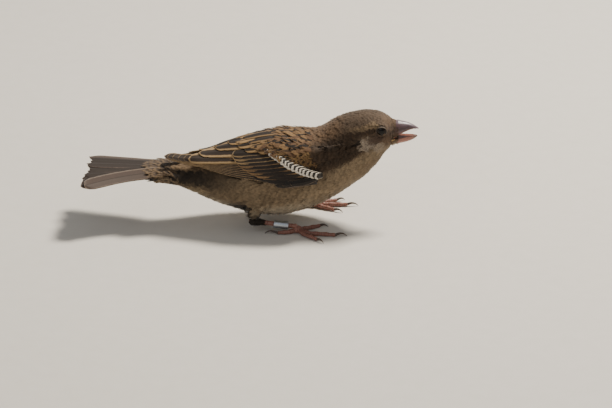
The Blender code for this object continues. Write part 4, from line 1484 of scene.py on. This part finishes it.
# %% Finish of the lids
lid_material, tree, shader = new_material("eyelid_skin", Roughness=0.55, Specular_IOR_Level=0.4)
zone = add(tree, "Attribute", attribute_name="zone")["Vector"]
out = add(tree, "SeparateXYZ", {0: zone})
beads = add(tree, "TexVoronoi", {"Scale": 5.2 / MM})[0]
off_ball = add(tree, "MapRange", [out[1], 0.15, 0.6], **EASED)[0]
lid_colour = add(tree, "Mix", {0: off_ball, 6: "2A211C", 7: "5A4B3B"}, **MIXED)[2]
between_beads = add(tree, "Math", [beads, 0.6], operation="MULTIPLY")[0]
lid_colour = add(tree, "Mix", {0: between_beads, 6: lid_colour, 7: "3A2F27"}, **MIXED)[2]
finish(tree, shader, lid_colour, beads, 0.6, 0.06, invert=True)
print("made", lid_material.name)

# %% [markdown]
# ## Parts of a ball
# Both the cornea and the lid are parts of balls round the eye's centre, so one function gives
# points at angles from the direction that the eye looks in. The lid's inner rim is a slightly
# flattened ring, because a sparrow's upper lid is straighter than the lower one.

# %% Eye helpers
OPEN_LENGTH, OPEN_HEIGHT = 2.08, 1.88  # half the opening, along and up, mm


def eye_frame(name, side):
    """The eye's centre and its three directions: out of the head, forward and up."""
    forward = unit(np.cross(gaze[name], [0, 0, 1.0]) * side)
    up = unit(np.cross(forward, gaze[name]) * side)
    return eye_centre[name], gaze[name], forward, up * np.sign(up[2])


def cap_grid(centre, directions, radius, polar, turns):
    """Points on a ball at polar angles from its look-out direction, for each turn round it."""
    out, forward, up = directions
    ring = forward * np.cos(turns)[:, None] + up * np.sin(turns)[:, None]
    return centre + radius[..., None] * (
        out * np.cos(polar)[..., None] + ring[None] * np.sin(polar)[..., None]
    )


def ring_faces(rows, count, flip):
    """Quads between closed rings of count points each."""
    faces = []
    for r in range(rows - 1):
        for c in range(count):
            d = (c + 1) % count
            quad = (r * count + c, r * count + d, (r + 1) * count + d, (r + 1) * count + c)
            faces.append(quad[::-1] if flip else quad)
    return faces


# %% [markdown]
# ## Balls and lids
# The cornea bulges a little over the pupil. The lid runs outward from the opening's rim in eight
# rings: from just under the ball's surface, over a rounded edge, and down into the skin.

# %% Eyeballs and lids
TURNS, BALL_RINGS = 64, 24  # points round an eye, and rings from its pole to under the lid
LID_STEPS = np.array([-0.02, 0.0, 0.02, 0.04, 0.065, 0.1, 0.16, 0.32])  # radians from the rim
LID_RISE = np.array([-0.10, 0.05, 0.14, 0.19, 0.20, 0.16, 0.04, -0.22])  # mm over the ball
for name, side in SIDES:
    centre, out, forward, up = eye_frame(name, side)
    turns = np.linspace(0, 2 * math.pi, TURNS, endpoint=False)
    polar = np.linspace(0.0, 0.84, BALL_RINGS + 1)[1:, None] * np.ones(TURNS)
    bulge = eye_radius - 0.02 + 0.05 * ease(polar, 0.45, 0.2)
    ball = cap_grid(centre, (out, forward, up), bulge, polar, turns)
    pole = centre + out * (eye_radius + 0.03)
    points = np.concatenate([ball.reshape(-1, 3), [pole]])
    flip = side < 0
    faces = ring_faces(BALL_RINGS, TURNS, flip)
    last = len(points) - 1
    for c in range(TURNS):
        tri = (last, (c + 1) % TURNS, c)
        faces.append(tri[::-1] if flip else tri)
    eye = make_piece("eyeball_" + name, points, faces, eye_material, "eye")
    zone = np.zeros((len(points), 3))
    zone[:-1, 0] = polar.ravel()
    store(eye, "zone", zone)
    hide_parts("eye_" + name)
    rim = np.hypot(OPEN_LENGTH * np.cos(turns), OPEN_HEIGHT * np.sin(turns))
    rim = rim - 0.12 * np.maximum(np.sin(turns), 0) ** 3
    inner = np.arcsin(rim / eye_radius)
    polar = inner[None, :] + LID_STEPS[:, None]
    radius = eye_radius + LID_RISE[:, None] * np.ones(TURNS) + 0.03 * np.sin(turns * 21)[None]
    lid = cap_grid(centre, (out, forward, up), radius, polar, turns)
    faces = ring_faces(len(LID_RISE), TURNS, not flip)
    lid_piece = make_piece("eyelids_" + name, lid.reshape(-1, 3), faces, lid_material, "crown_feathers")
    zone = np.zeros((lid.size // 3, 3))
    zone[:, 1] = np.repeat(np.linspace(0, 1, len(LID_RISE)), TURNS)
    store(lid_piece, "zone", zone)
print("eye opening", 2 * OPEN_LENGTH, "x", 2 * OPEN_HEIGHT, "mm")

# %% [markdown]
# ## The bill
# The bill is bone under a sheath of horn. The horn grows forward from the forehead, which leaves
# faint streaks along it. The upper half is lilac-brown with a polished ridge that carries a pale
# painted highlight, and redder where it meets the mouth's corner. The lower half is pinkish horn. A
# fine remesh of each solid rounds the facets away, and a nostril is pressed in at each side of the
# base, its hollow painted near black as painted shade.

# %% Horn
NOSTRIL = np.array([62.9, 2.35, 44.4])
horn_points, horn_normals = [], []


def horn_material(name):
    """Polished horn, whose colour comes from each point's tone."""
    material, tree, shader = new_material(
        name, Roughness=0.36, Coat_Weight=0.15, Coat_Roughness=0.28, IOR=1.54,
        Subsurface_Weight=0.08, Subsurface_Scale=0.0008,
    )
    tone = add(tree, "Attribute", attribute_name="tone")["Color"]
    place = add(tree, "TexCoord")["Object"]
    # growth streaks are about 6 mm long and 0.4 mm apart
    streak_scale = (0.16 / MM, 2.4 / MM, 2.4 / MM)
    stretch = add(tree, "Mapping", {0: place, "Scale": streak_scale})[0]
    streaks = add(tree, "TexNoise", {"Vector": stretch, "Scale": 1.0, "Detail": 4.0})[0]
    dark = add(tree, "Mix", {0: 1.0, 6: tone, 7: "C6BCBA"}, blend_type="MULTIPLY", **MIXED)[2]
    streaked = add(tree, "MapRange", [streaks, 0.3, 0.7], **EASED)[0]
    horn_colour = add(tree, "Mix", {0: streaked, 6: dark, 7: tone}, **MIXED)[2]
    finish(tree, shader, horn_colour, streaks, 0.35, 0.04)
    return material


def bill_half(node, slot, material, tones):
    """A bill solid remeshed fine and smooth, with its colours. tones(points) gives them."""
    mesh = fused((node,), 0.16, 3)
    points, normals = mesh_arrays(mesh)
    mirrored = np.column_stack([points[:, 0], np.abs(points[:, 1]), points[:, 2]])
    to_nostril = np.linalg.norm((mirrored - NOSTRIL) * [0.8, 0.6, 1.25], axis=1)
    points = points - normals * (0.45 * ease(to_nostril, 0.75, 0.2))[:, None]
    base = ease(points[:, 0], points[:, 0].min() + 0.6, points[:, 0].min() + 0.1)[:, None]
    middle = np.array([0.0, 0.0, points[:, 2].mean()])
    inward = (points - middle) * [0.0, -0.10, -0.10] + [-1.8, 0.0, 0.0]
    points = points + inward * base
    horn_points.append(points)
    horn_normals.append(normals)
    piece = make_piece(node + "_horn", points, [tuple(f.vertices) for f in mesh.polygons], material, slot)
    colours = tones(points)
    # painted shade: the pressed-in nostril is painted near black, as the shade of its hollow
    colours = colours + (linear("120C0C") - colours) * ease(to_nostril, 0.7, 0.3)[:, None]
    store(piece, "tone", colours)
    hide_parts(node)
    print(node + ":", len(mesh.polygons), "faces")


def near_ridge(points):
    """How near each point is to the ridge of the bill, up to 1 on it."""
    ridge_z = np.interp(points[:, 0], [61, 64, 67.5, 70, 72.2], [46.6, 46.6, 45.9, 44.8, 43.3])
    return 1 - np.clip((ridge_z - points[:, 2]) / 1.4, 0, 1)


def upper_tones(points):
    """Dull red at the base, lilac-brown in the middle, darker at the tip, with a pale painted highlight on
    the ridge.
    """
    x, z = points[:, 0], points[:, 2]
    along = ((x - bill_low[0]) / (bill_high[0] - bill_low[0]))[:, None]
    # painted highlight: the ridge is painted pale where a polished ridge catches light
    ridge = ease(near_ridge(points), 0.0, 1.0)[:, None]
    base, middle, tip = linear("5E3932"), linear("554347"), linear("3B2F2C")
    colours = base + (middle - base) * ease(along, 0.12, 0.4)
    colours = colours + (tip - colours) * ease(along, 0.7, 1.0)
    edge = ease(z - np.interp(x, [60, 64, 68, 72], [40.0, 41.6, 42.9, 43.1]), 1.1, 0.2)[:, None]
    colours = colours + (linear("8A5144") - colours) * edge * 0.6
    return colours + (linear("857A87") - colours) * ridge * 0.6


def lower_tones(points):
    """Straw at the base, then pinkish horn."""
    x = points[:, 0]
    base, middle, tip = linear("A5774F"), linear("96604F"), linear("735A50")
    colours = base + (middle - base) * ease(x, 60.5, 62.8)[:, None]
    return colours + (tip - colours) * ease(x, 68.0, 71.5)[:, None]


upper_horn = horn_material("upper_bill_horn")
lower_horn = horn_material("lower_bill_horn")
bill_half("bill_upper", "upper_bill_horn", upper_horn, upper_tones)
bill_half("bill_lower", "lower_bill_horn", lower_horn, lower_tones)

# %% [markdown]
# ## Bristles round the bill
# The first feathers of the face grow from the very edge of the horn and point back, so that no
# bare step shows. Between them short bristles point forward and half hide the nostrils.

# %% Bristles
around, outward = np.concatenate(horn_points), np.concatenate(horn_normals)
BILL_EDGE = head_high[0]  # where the feathers stop on the bill


def bill_collar(name, low_x, high_x, heading, length, depth, spacing):
    """A row of small feathers rooted on the base of the horn. heading is 1 forward, -1 backward."""
    near_base = (around[:, 0] > BILL_EDGE + low_x) & (around[:, 0] < BILL_EDGE + high_x)
    collar = np.flatnonzero(near_base & (outward[:, 0] > -0.35))
    picks = collar[spread(around[collar], np.full(len(collar), spacing), rng)]
    roots, normals = around[picks], outward[picks]
    fringe, centre, part = body_colours(roots - [2.4, 0, 0])
    ahead = [heading, 0.0, 0.0] + rng.normal(0, 0.16, roots.shape) + normals * 0.15
    look = {
        "length": length,
        "width": 0.36 * length,
        "depth": depth,
        "fluff": 0.3,
        "barbs": 0.35,
        "ahead": unit(ahead - normals * (ahead * normals).sum(1)[:, None]),
        "over": None if heading < 0 else coat_tree,
        "colours": (fringe, centre, part, 0.9),
    }
    body_feathers(name, roots, normals, look, "crown_feathers", rng)


bill_collar("bill_base_feathers", 0.2, 1.0, -1.0, 1.9, 0.5, 0.34)
bill_collar("bill_bristles", -0.6, 0.5, 1.0, 1.1, 0.25, 0.38)

# %% [markdown]
# ## The mouth's corner
# The bill is a little open. Behind the horn the mouth is lined with wet red skin, which stretches
# between the two halves, and the soft rim at its corner is yellow, as in any young or hungry bird.

# %% Finishes of the mouth
flesh_material, tree, shader = new_material(
    "mouth_lining", Roughness=0.25, Subsurface_Weight=0.2, Subsurface_Scale=0.001, IOR=1.4
)
# creases are about 0.5 mm apart
creases = add(tree, "TexNoise", {"Scale": 1.8 / MM, "Detail": 4.0})[0]
lining_colour = add(tree, "Mix", {0: creases, 6: "6E2B22", 7: "A4533F"}, **MIXED)[2]
finish(tree, shader, lining_colour, creases, 0.4, 0.08)

gape_material, tree, shader = new_material(
    "gape_rim", Roughness=0.4, Subsurface_Weight=0.2, Subsurface_Scale=0.001
)
creases = add(tree, "TexNoise", {"Scale": 1.5 / MM, "Detail": 3.0})[0]
gape_colour = add(tree, "Mix", {0: creases, 6: "8C6B3C", 7: "B08F57"}, **MIXED)[2]
tree.links.new(gape_colour, shader.inputs["Base Color"])
print("made", flesh_material.name, "and", gape_material.name)


# %% [markdown]
# ## A tube along a path
# The lining, the soft rim, the shanks, the toes and the claws are all tubes: a ring of points at
# each place of a path, at right angles to it, with a radius of its own. Only the pattern of the
# radius differs.

# %% Tubes, and the mouth


def tube(places, radii, turns=16, squash=1.0, up=(0, 0, 1.0), bulge=None):
    """A closed tube through places. bulge(row, angle) scales the radius; angle 0 points up."""
    places = np.asarray(places, float)
    ahead = unit(np.gradient(places, axis=0))
    side_way = unit(np.cross(ahead, up))
    over = np.cross(side_way, ahead)
    angle = np.linspace(0, 2 * math.pi, turns, endpoint=False)
    scale = np.asarray(radii, float)[:, None] * np.ones(turns)
    if bulge is not None:
        scale = scale * bulge(np.arange(len(places))[:, None], angle[None])
    ring = (
        over[:, None] * np.cos(angle)[None, :, None]
        + squash * side_way[:, None] * np.sin(angle)[None, :, None]
    )
    points = places[:, None] + ring * scale[..., None]
    points = np.concatenate([points.reshape(-1, 3), places[:1], places[-1:]])
    faces = ring_faces(len(places), turns, True)
    first, last = len(points) - 2, len(points) - 1
    for c in range(turns):
        d = (c + 1) % turns
        faces.append((first, c, d))
        faces.append((last, (len(places) - 1) * turns + d, (len(places) - 1) * turns + c))
    return points, faces


lining_x = np.array([58.8, 60.0, 61.2, 62.2, 62.9])
lining = np.column_stack([lining_x, 0 * lining_x, [39.3, 39.5, 39.8, 40.05, 40.2]])
points, faces = tube(lining, [1.1, 1.05, 1.0, 0.85, 0.5], turns=24, squash=3.5)
make_piece("mouth_lining", points, faces, flesh_material, "lower_bill_horn")
for name, side in SIDES:
    path = np.array([(58.9, 4.5, 39.9), (59.9, 4.55, 39.35), (60.9, 4.3, 39.25), (62.0, 3.9, 39.5)])
    path = smooth_path(path, np.linspace(0, 1, 9)) * [1, side, 1]
    points, faces = tube(path, [0.12, 0.3, 0.38, 0.4, 0.38, 0.34, 0.3, 0.22, 0.1], turns=12)
    make_piece("gape_rim_" + name, points, faces, gape_material, "lower_bill_horn")

# %% [markdown]
# ## Legs and toes
# The bare leg is wrapped in plates of horn called scutes, one over the next like slates, with softer
# beads behind. Each front toe has a row of small scutes on top and round pads below, and ends in a
# curved claw. Scutes are matte horn over soft skin, pinkish where blood shows through. The seams
# between them are darker, and fine beads roughen the surface.

# %% Leg finish


def leg_material(name, light, dark):
    """Scuted leg skin. The number of the plate along the leg is stored with each point."""
    material, tree, shader = new_material(
        name, Roughness=0.45, Specular_IOR_Level=0.45, Subsurface_Weight=0.1, Subsurface_Scale=0.0008
    )
    tone = add(tree, "Attribute", attribute_name="scute")["Vector"]
    part = add(tree, "SeparateXYZ", {0: tone})
    plate_turn = add(tree, "Math", [part[0], math.pi], operation="MULTIPLY")[0]
    plate_wave = add(tree, "Math", [plate_turn], operation="SINE")[0]
    off_seam = add(tree, "Math", [plate_wave], operation="ABSOLUTE")[0]
    plate = add(tree, "MapRange", [off_seam, 0.02, 0.4], **EASED)[0]
    # grain and beads are both about 0.4 mm across
    grain = add(tree, "TexNoise", {"Scale": 2.6 / MM, "Detail": 4.0})[0]
    pale = add(tree, "MapRange", [grain, 0.3, 0.7], **EASED)[0]
    plain = add(tree, "Mix", {0: pale, 6: dark, 7: light}, **MIXED)[2]
    seam_colour = add(tree, "Mix", {0: 1.0, 6: plain, 7: "BBA196"}, blend_type="MULTIPLY", **MIXED)[2]
    leg_colour = add(tree, "Mix", {0: plate, 6: seam_colour, 7: plain}, **MIXED)[2]
    beads = add(tree, "TexVoronoi", {"Scale": 2.4 / MM})[0]
    height = add(tree, "Math", [beads, -0.4, plate], operation="MULTIPLY_ADD")[0]
    finish(tree, shader, leg_colour, height, 0.7, 0.08)
    return material


leg_skin = leg_material("leg_scutes", "966858", "6E4A43")
print("made", leg_skin.name)

# %% [markdown]
# ## Claw horn
# Claws are hard dark horn, smoother and glossier than the scutes, and a little paler in patches.

# %% Claw finish
claw_material, tree, shader = new_material("claw_horn", Roughness=0.35, IOR=1.54)
grain = add(tree, "TexNoise", {"Scale": 2.5 / MM, "Detail": 4.0})[0]
claw_colour = add(tree, "Mix", {0: grain, 6: "241812", 7: "4E3A2D"}, **MIXED)[2]
finish(tree, shader, claw_colour, grain, 0.4, 0.04)
print("made", claw_material.name)

# %% [markdown]
# ## Plated tubes
# Each toe is given by three places seen from above, counted from the foot: its knuckle, its tip and
# the point of its claw. The slates are real steps in the tube's radius, on the upper side only.

# %% Toes and plates
TOES = {
    "left": {
        "middle": ((5.2, 0.2), (14.6, 0.6), (19.2, 0.9)),
        "inner": ((3.6, -2.6), (9.0, -5.2), (12.4, -6.8)),
        "outer": ((4.0, 2.6), (10.0, 5.6), (13.4, 7.4)),
        "hind": ((-3.6, -0.9), (-7.6, -1.6), (-12.6, -2.6)),
    },
    "right": {
        "middle": ((5.0, -3.0), (16.4, -4.2), (21.2, -3.6)),
        "inner": ((4.4, 2.6), (9.8, 6.0), (13.2, 6.2)),
        "outer": ((3.4, -4.6), (8.6, -9.2), (11.2, -11.8)),
        "hind": ((-4.0, -1.7), (-8.6, -2.0), (-14.0, -1.0)),
    },
}
SCUTE, TOE_SCUTE = 2.1, 0.95  # plate lengths, mm


def plated(pitch, spacing, depth):
    """A radius pattern of slates: each plate rises to its lower edge, on the upper side only."""
    def bulge(row, angle):
        upper = 0.5 + 0.5 * np.cos(angle)
        return 1 + depth * ((row * spacing / pitch) % 1.0 - 0.5) * upper
    return bulge


def scaly(name, places, radii, pitch, depth, material, squash=1.0):
    """A plated tube with the plate number stored along it."""
    steps = np.linalg.norm(np.diff(places, axis=0), axis=1)
    walked = np.concatenate([[0.0], np.cumsum(steps)])
    points, faces = tube(places, radii, 20, squash, bulge=plated(pitch, steps.mean(), depth))
    made = make_piece(name, points, faces, material, "leg_scutes")
    around = np.linspace(0, 2 * math.pi, 20, endpoint=False)
    uneven = walked / pitch + 0.18 * np.sin(walked / pitch * 2.3)
    along = (uneven[:, None] + 0.16 * np.abs(np.sin(around / 2))[None]).ravel()
    along = np.append(along, [0.0, walked[-1] / pitch])
    store(made, "scute", np.column_stack([along, 0 * along, 0 * along]))
    return made


# %% [markdown]
# ## Shanks, feet and claws
# The shank swells at the heel and at the foot. Toes swell at each joint, three or four along a toe,
# and lie on the ground, and each claw springs from its toe's tip in an arc that ends on the ground.

# %% Both legs
TOE_HEIGHT = 0.78  # of a toe's middle line above the ground, mm
for name in HEEL:
    heel, foot = HEEL[name], FOOT[name]
    shank = heel + (foot - heel) * np.linspace(-0.02, 1.0, 90)[:, None]
    s = np.linspace(0, 1, 90)
    radii = 1.02 + 0.35 * ease(s, 0.14, 0.0) + 0.2 * ease(s, 0.88, 1.0)
    radii = radii * np.sqrt(np.clip(np.minimum(s / 0.06, (1.02 - s) / 0.06), 0.03, 1))
    piece = scaly("tarsus_skin_" + name, shank, radii, SCUTE, 0.08, leg_skin, squash=0.86)
    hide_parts("tarsus_" + name)
    under_foot = np.array([foot[0], foot[1], TOE_HEIGHT])
    pad = np.array([foot[0], foot[1], 1.75])
    pad_x = np.linspace(-2.0, 2.2, 18)
    pad_places = pad + np.column_stack([pad_x, 0 * pad_x, 0 * pad_x])
    pad_radii = 1.72 * np.sqrt(np.maximum(1 - (pad_x / 2.25) ** 2, 0.02))
    piece = scaly("foot_pad_" + name, pad_places, pad_radii, TOE_SCUTE, 0.08, leg_skin, squash=1.1)
    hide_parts("foot_" + name)
    for toe, (knuckle, tip, claw) in TOES[name].items():
        middle = ((knuckle[0] + tip[0]) / 2, (knuckle[1] + tip[1]) / 2)
        route = np.array([(0, 0, 0.75), (*knuckle, 0.35), (*middle, 0.28), (*tip, 0.12)]) + under_foot
        length = np.linalg.norm(np.diff(route, axis=0), axis=1).sum()
        rows = int(length / 0.14)
        s = np.linspace(0, 1, rows)
        places = smooth_path(route, s)
        joints = 4 if toe == "middle" else 3
        radii = 1.1 - 0.32 * s + 0.09 * np.cos(2 * math.pi * joints * s)
        radii = radii * np.sqrt(np.clip((1.01 - s) * length / 0.8, 0.03, 1))
        piece = scaly(toe + "_toe_" + name, places, radii, TOE_SCUTE, 0.11, leg_skin)
        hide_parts(("toe_hind_" if toe == "hind" else "foot_") + name)
        start = np.array([*tip, 0.25]) + under_foot
        end = np.array([*claw, 0.12]) + [foot[0], foot[1], 0.0]
        s = np.linspace(-0.12, 1, 24)
        places = start + (end - start) * s[:, None]
        reach = np.linalg.norm(end - start)
        places[:, 2] += 0.24 * reach * 4 * s * (1 - s) * (0.6 + 0.4 * s)
        points, faces = tube(places, 0.56 * (1 - np.maximum(s, 0)) ** 0.75 + 0.06, 14, squash=0.72)
        piece = make_piece(toe + "_claw_" + name, points, faces, claw_material, "claw_horn")
        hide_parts("claw_" + toe + "_" + name)

# %% [markdown]
# ## Feathered thighs
# The upper leg is clothed in short soft feathers that end in a loose cuff over the heel and the
# first third of the bare leg.

# %% Cuffs
CUFF = 4.4  # how far down the bare leg the feathers' roots go, mm
for name in HEEL:
    heel, foot = HEEL[name], FOOT[name]
    down_leg = unit(foot - heel)
    side_way = unit(np.cross(down_leg, [0, 0, 1.0]))
    angle = rng.uniform(0, 2 * math.pi, 900)[:, None]
    outward = np.cross(side_way, down_leg) * np.cos(angle) + side_way * np.sin(angle)
    roots = heel + down_leg * rng.uniform(-0.8, CUFF, 900)[:, None] + outward * 0.95
    picks = spread(roots, np.full(len(roots), 0.4), rng)
    roots, normals = roots[picks], outward[picks]
    # the cuffs take the thigh's colours, which are painted shade
    fringe, centre, part = body_colours(roots)
    ahead = down_leg + rng.normal(0, 0.1, roots.shape)
    look = {
        "length": 2.1,
        "width": 1.0,
        "depth": 0.25 + 0.45 * ease((roots - heel) @ down_leg, CUFF, 0.0),
        "fluff": 0.15,
        "barbs": 0.3,
        "ahead": unit(ahead - normals * (ahead * normals).sum(1)[:, None]),
        "colours": (fringe, centre, part, 0.9),
    }
    body_feathers("thigh_cuff_" + name, roots, normals, look, "breast_feathers", rng)
print("legs done:", len(made_pieces), "pieces so far")

# %% [markdown]
# ## The leg ring
# Bird ringers close a light aluminium band round the leg. It is rolled from sheet a third of a
# millimetre thick, its edges are dulled, and a fine seam shows where its ends meet. Wear on stones
# and perches scuffs it, which blurs its shine. This one is left blank.

# %% Ring finish
ring_metal, tree, shader = new_material(
    "ring_aluminium", Metallic=1.0, Roughness=0.34, Anisotropic=0.4
)
place = add(tree, "TexCoord")["Object"]
# scuffs are about half a millimetre apart
scuffs = add(tree, "TexNoise", {"Vector": place, "Scale": 2.2 / MM, "Detail": 5.0})[0]
polished = add(tree, "MapRange", [scuffs, 0.3, 0.75], **EASED)[0]
metal = add(tree, "Mix", {0: polished, 6: "A3AAB2", 7: "B9C1C9"}, **MIXED)[2]
finish(tree, shader, metal, scuffs, 0.25, 0.03)
print("made", ring_metal.name)

# %% [markdown]
# ## Rolling the band
# The band's cross-section is swept almost once round the leg. Its outer edges are broken by two
# small flats, so that they catch a line of light, and the sweep stops short of a full turn.

# %% Ring
RING_PLACE = 0.655  # along the leg, from heel to foot
RING_LENGTH, RING_RADIUS, RING_WALL, RING_SEAM, RING_EDGE = 6.2, 1.75, 0.35, 0.18, 0.09  # mm
heel, foot = HEEL["right"], FOOT["right"]
along = unit(foot - heel)
middle = heel + (foot - heel) * RING_PLACE
side_way = unit(np.cross(along, [0, 0, 1.0]))
over = np.cross(side_way, along)
end, inner_radius = RING_LENGTH / 2, RING_RADIUS - RING_WALL
profile = np.array([
    (-end + RING_EDGE, RING_RADIUS), (-end + RING_EDGE * 0.3, RING_RADIUS - RING_EDGE * 0.3),
    (-end, RING_RADIUS - RING_EDGE), (-end, inner_radius), (end, inner_radius),
    (end, RING_RADIUS - RING_EDGE), (end - RING_EDGE * 0.3, RING_RADIUS - RING_EDGE * 0.3),
    (end - RING_EDGE, RING_RADIUS),
])
gap = RING_SEAM / RING_RADIUS / 2
angles = np.linspace(math.pi + gap, 3 * math.pi - gap, 73)
rings = []
for angle in angles:
    outward = over * math.cos(angle) + side_way * math.sin(angle)
    rings.append(middle + along * profile[:, :1] + outward * profile[:, 1:])
points = np.concatenate(rings)
count = len(profile)
faces = [
    (r * count + c, r * count + (c + 1) % count, (r + 1) * count + (c + 1) % count, (r + 1) * count + c)
    for r in range(len(angles) - 1) for c in range(count)
]
faces.append(tuple(range(count))[::-1])
faces.append(tuple(range((len(angles) - 1) * count, len(angles) * count)))
ring = make_piece("ring_band", points, faces, ring_metal, "ring_aluminium", smooth=False)
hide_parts("leg_ring")
print("ring:", 2 * RING_RADIUS, "mm across and", RING_LENGTH, "mm long")

# %% [markdown]
# ## The floor
# The bird stands on a pale, matte painted board. Faint speckle about a millimetre across keeps it
# from looking like a plain colour.

# %% Floor
floor_paint, tree, shader = new_material("matte_floor_paint", Roughness=0.85)
speckle = add(tree, "TexNoise", {"Scale": 0.9 / MM, "Detail": 3.0})[0]
paint = add(tree, "Mix", {0: speckle, 6: "CFCBC3", 7: "D6D2CB"}, **MIXED)[2]
tree.links.new(paint, shader.inputs["Base Color"])
floor_mesh = bpy.data.meshes.new("floor")
floor_mesh.from_pydata([(-3, -3, 0), (3, -3, 0), (3, 3, 0), (-3, 3, 0)], [], [(0, 1, 2, 3)])
floor_mesh.materials.append(floor_paint)
floor = bpy.data.objects.new("floor", floor_mesh)
link(floor)
floor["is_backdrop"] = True
print("made", floor_paint.name)

# %% [markdown]
# ## The light
# One soft light stands high behind the bird's head, as late-morning sun would, and it throws the
# shadow toward the viewer. A wide, weak light on the viewer's side opens the shaded flank, and a
# pale room fills the rest.

# %% Lights
room = bpy.data.worlds.new("pale_room")
bpy.context.scene.world = room
room.use_nodes = True
background = room.node_tree.nodes["Background"]
background.inputs["Color"].default_value = linear("F4F2EE")
background.inputs["Strength"].default_value = 0.35


def soft_light(name, toward, distance, size, power, colour):
    """A square soft light in the direction toward from the bird, facing it."""
    data = bpy.data.lights.new(name, "AREA")
    data.size = size
    data.energy = power
    data.color = linear(colour)[:3]
    lamp = bpy.data.objects.new(name, data)
    link(lamp)
    out = Vector(toward).normalized()
    lamp.location = out * distance + Vector((0, 0, 0.02))
    lamp.rotation_mode = "QUATERNION"
    lamp.rotation_quaternion = (-out).to_track_quat("-Z", "Y")


soft_light("sun_softbox", (0.42, 0.30, 0.86), 1.1, 0.22, 24.0, "FFF6E8")
soft_light("viewer_fill", (-0.35, -0.85, 0.55), 1.2, 0.9, 2.5, "F4F6FC")

# %% [markdown]
# ## The camera
# The bird is seen square to its right side from a little above, with a long lens from two metres
# off, as a watcher kneeling nearby would see it.

# %% Camera
AIM = np.array([24.08, 0.0, 7.94])  # on the bird's midline, mm
ELEVATION, DISTANCE, FIELD = math.radians(23.0), 2.0, 0.26316  # field is metres across
camera_data = bpy.data.cameras.new("camera")
camera_data.sensor_width = 36.0
camera_data.lens = 36.0 * DISTANCE / FIELD
camera_data.clip_end = 20.0
camera = bpy.data.objects.new("camera", camera_data)
link(camera)
back = Vector((0, -math.cos(ELEVATION), math.sin(ELEVATION)))
camera.location = Vector((AIM - to_bird) * MM) + back * DISTANCE
camera.rotation_mode = "QUATERNION"
camera.rotation_quaternion = (-back).to_track_quat("-Z", "Y")
bpy.context.scene.camera = camera
print("lens:", round(camera_data.lens), "mm")

# %% [markdown]
# ## How big it came out
# The bounds of the solids and of the finished bird are kept side by side, in metres.

# %% Sizes
made_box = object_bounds()
sizes = {
    label: [[round(v, 5) for v in corner] for corner in box]
    for label, box in (("solids", cad_box), ("model", made_box))
}
print("model:", [round((made_box[1][i] - made_box[0][i]) / MM, 1) for i in range(3)], "mm")
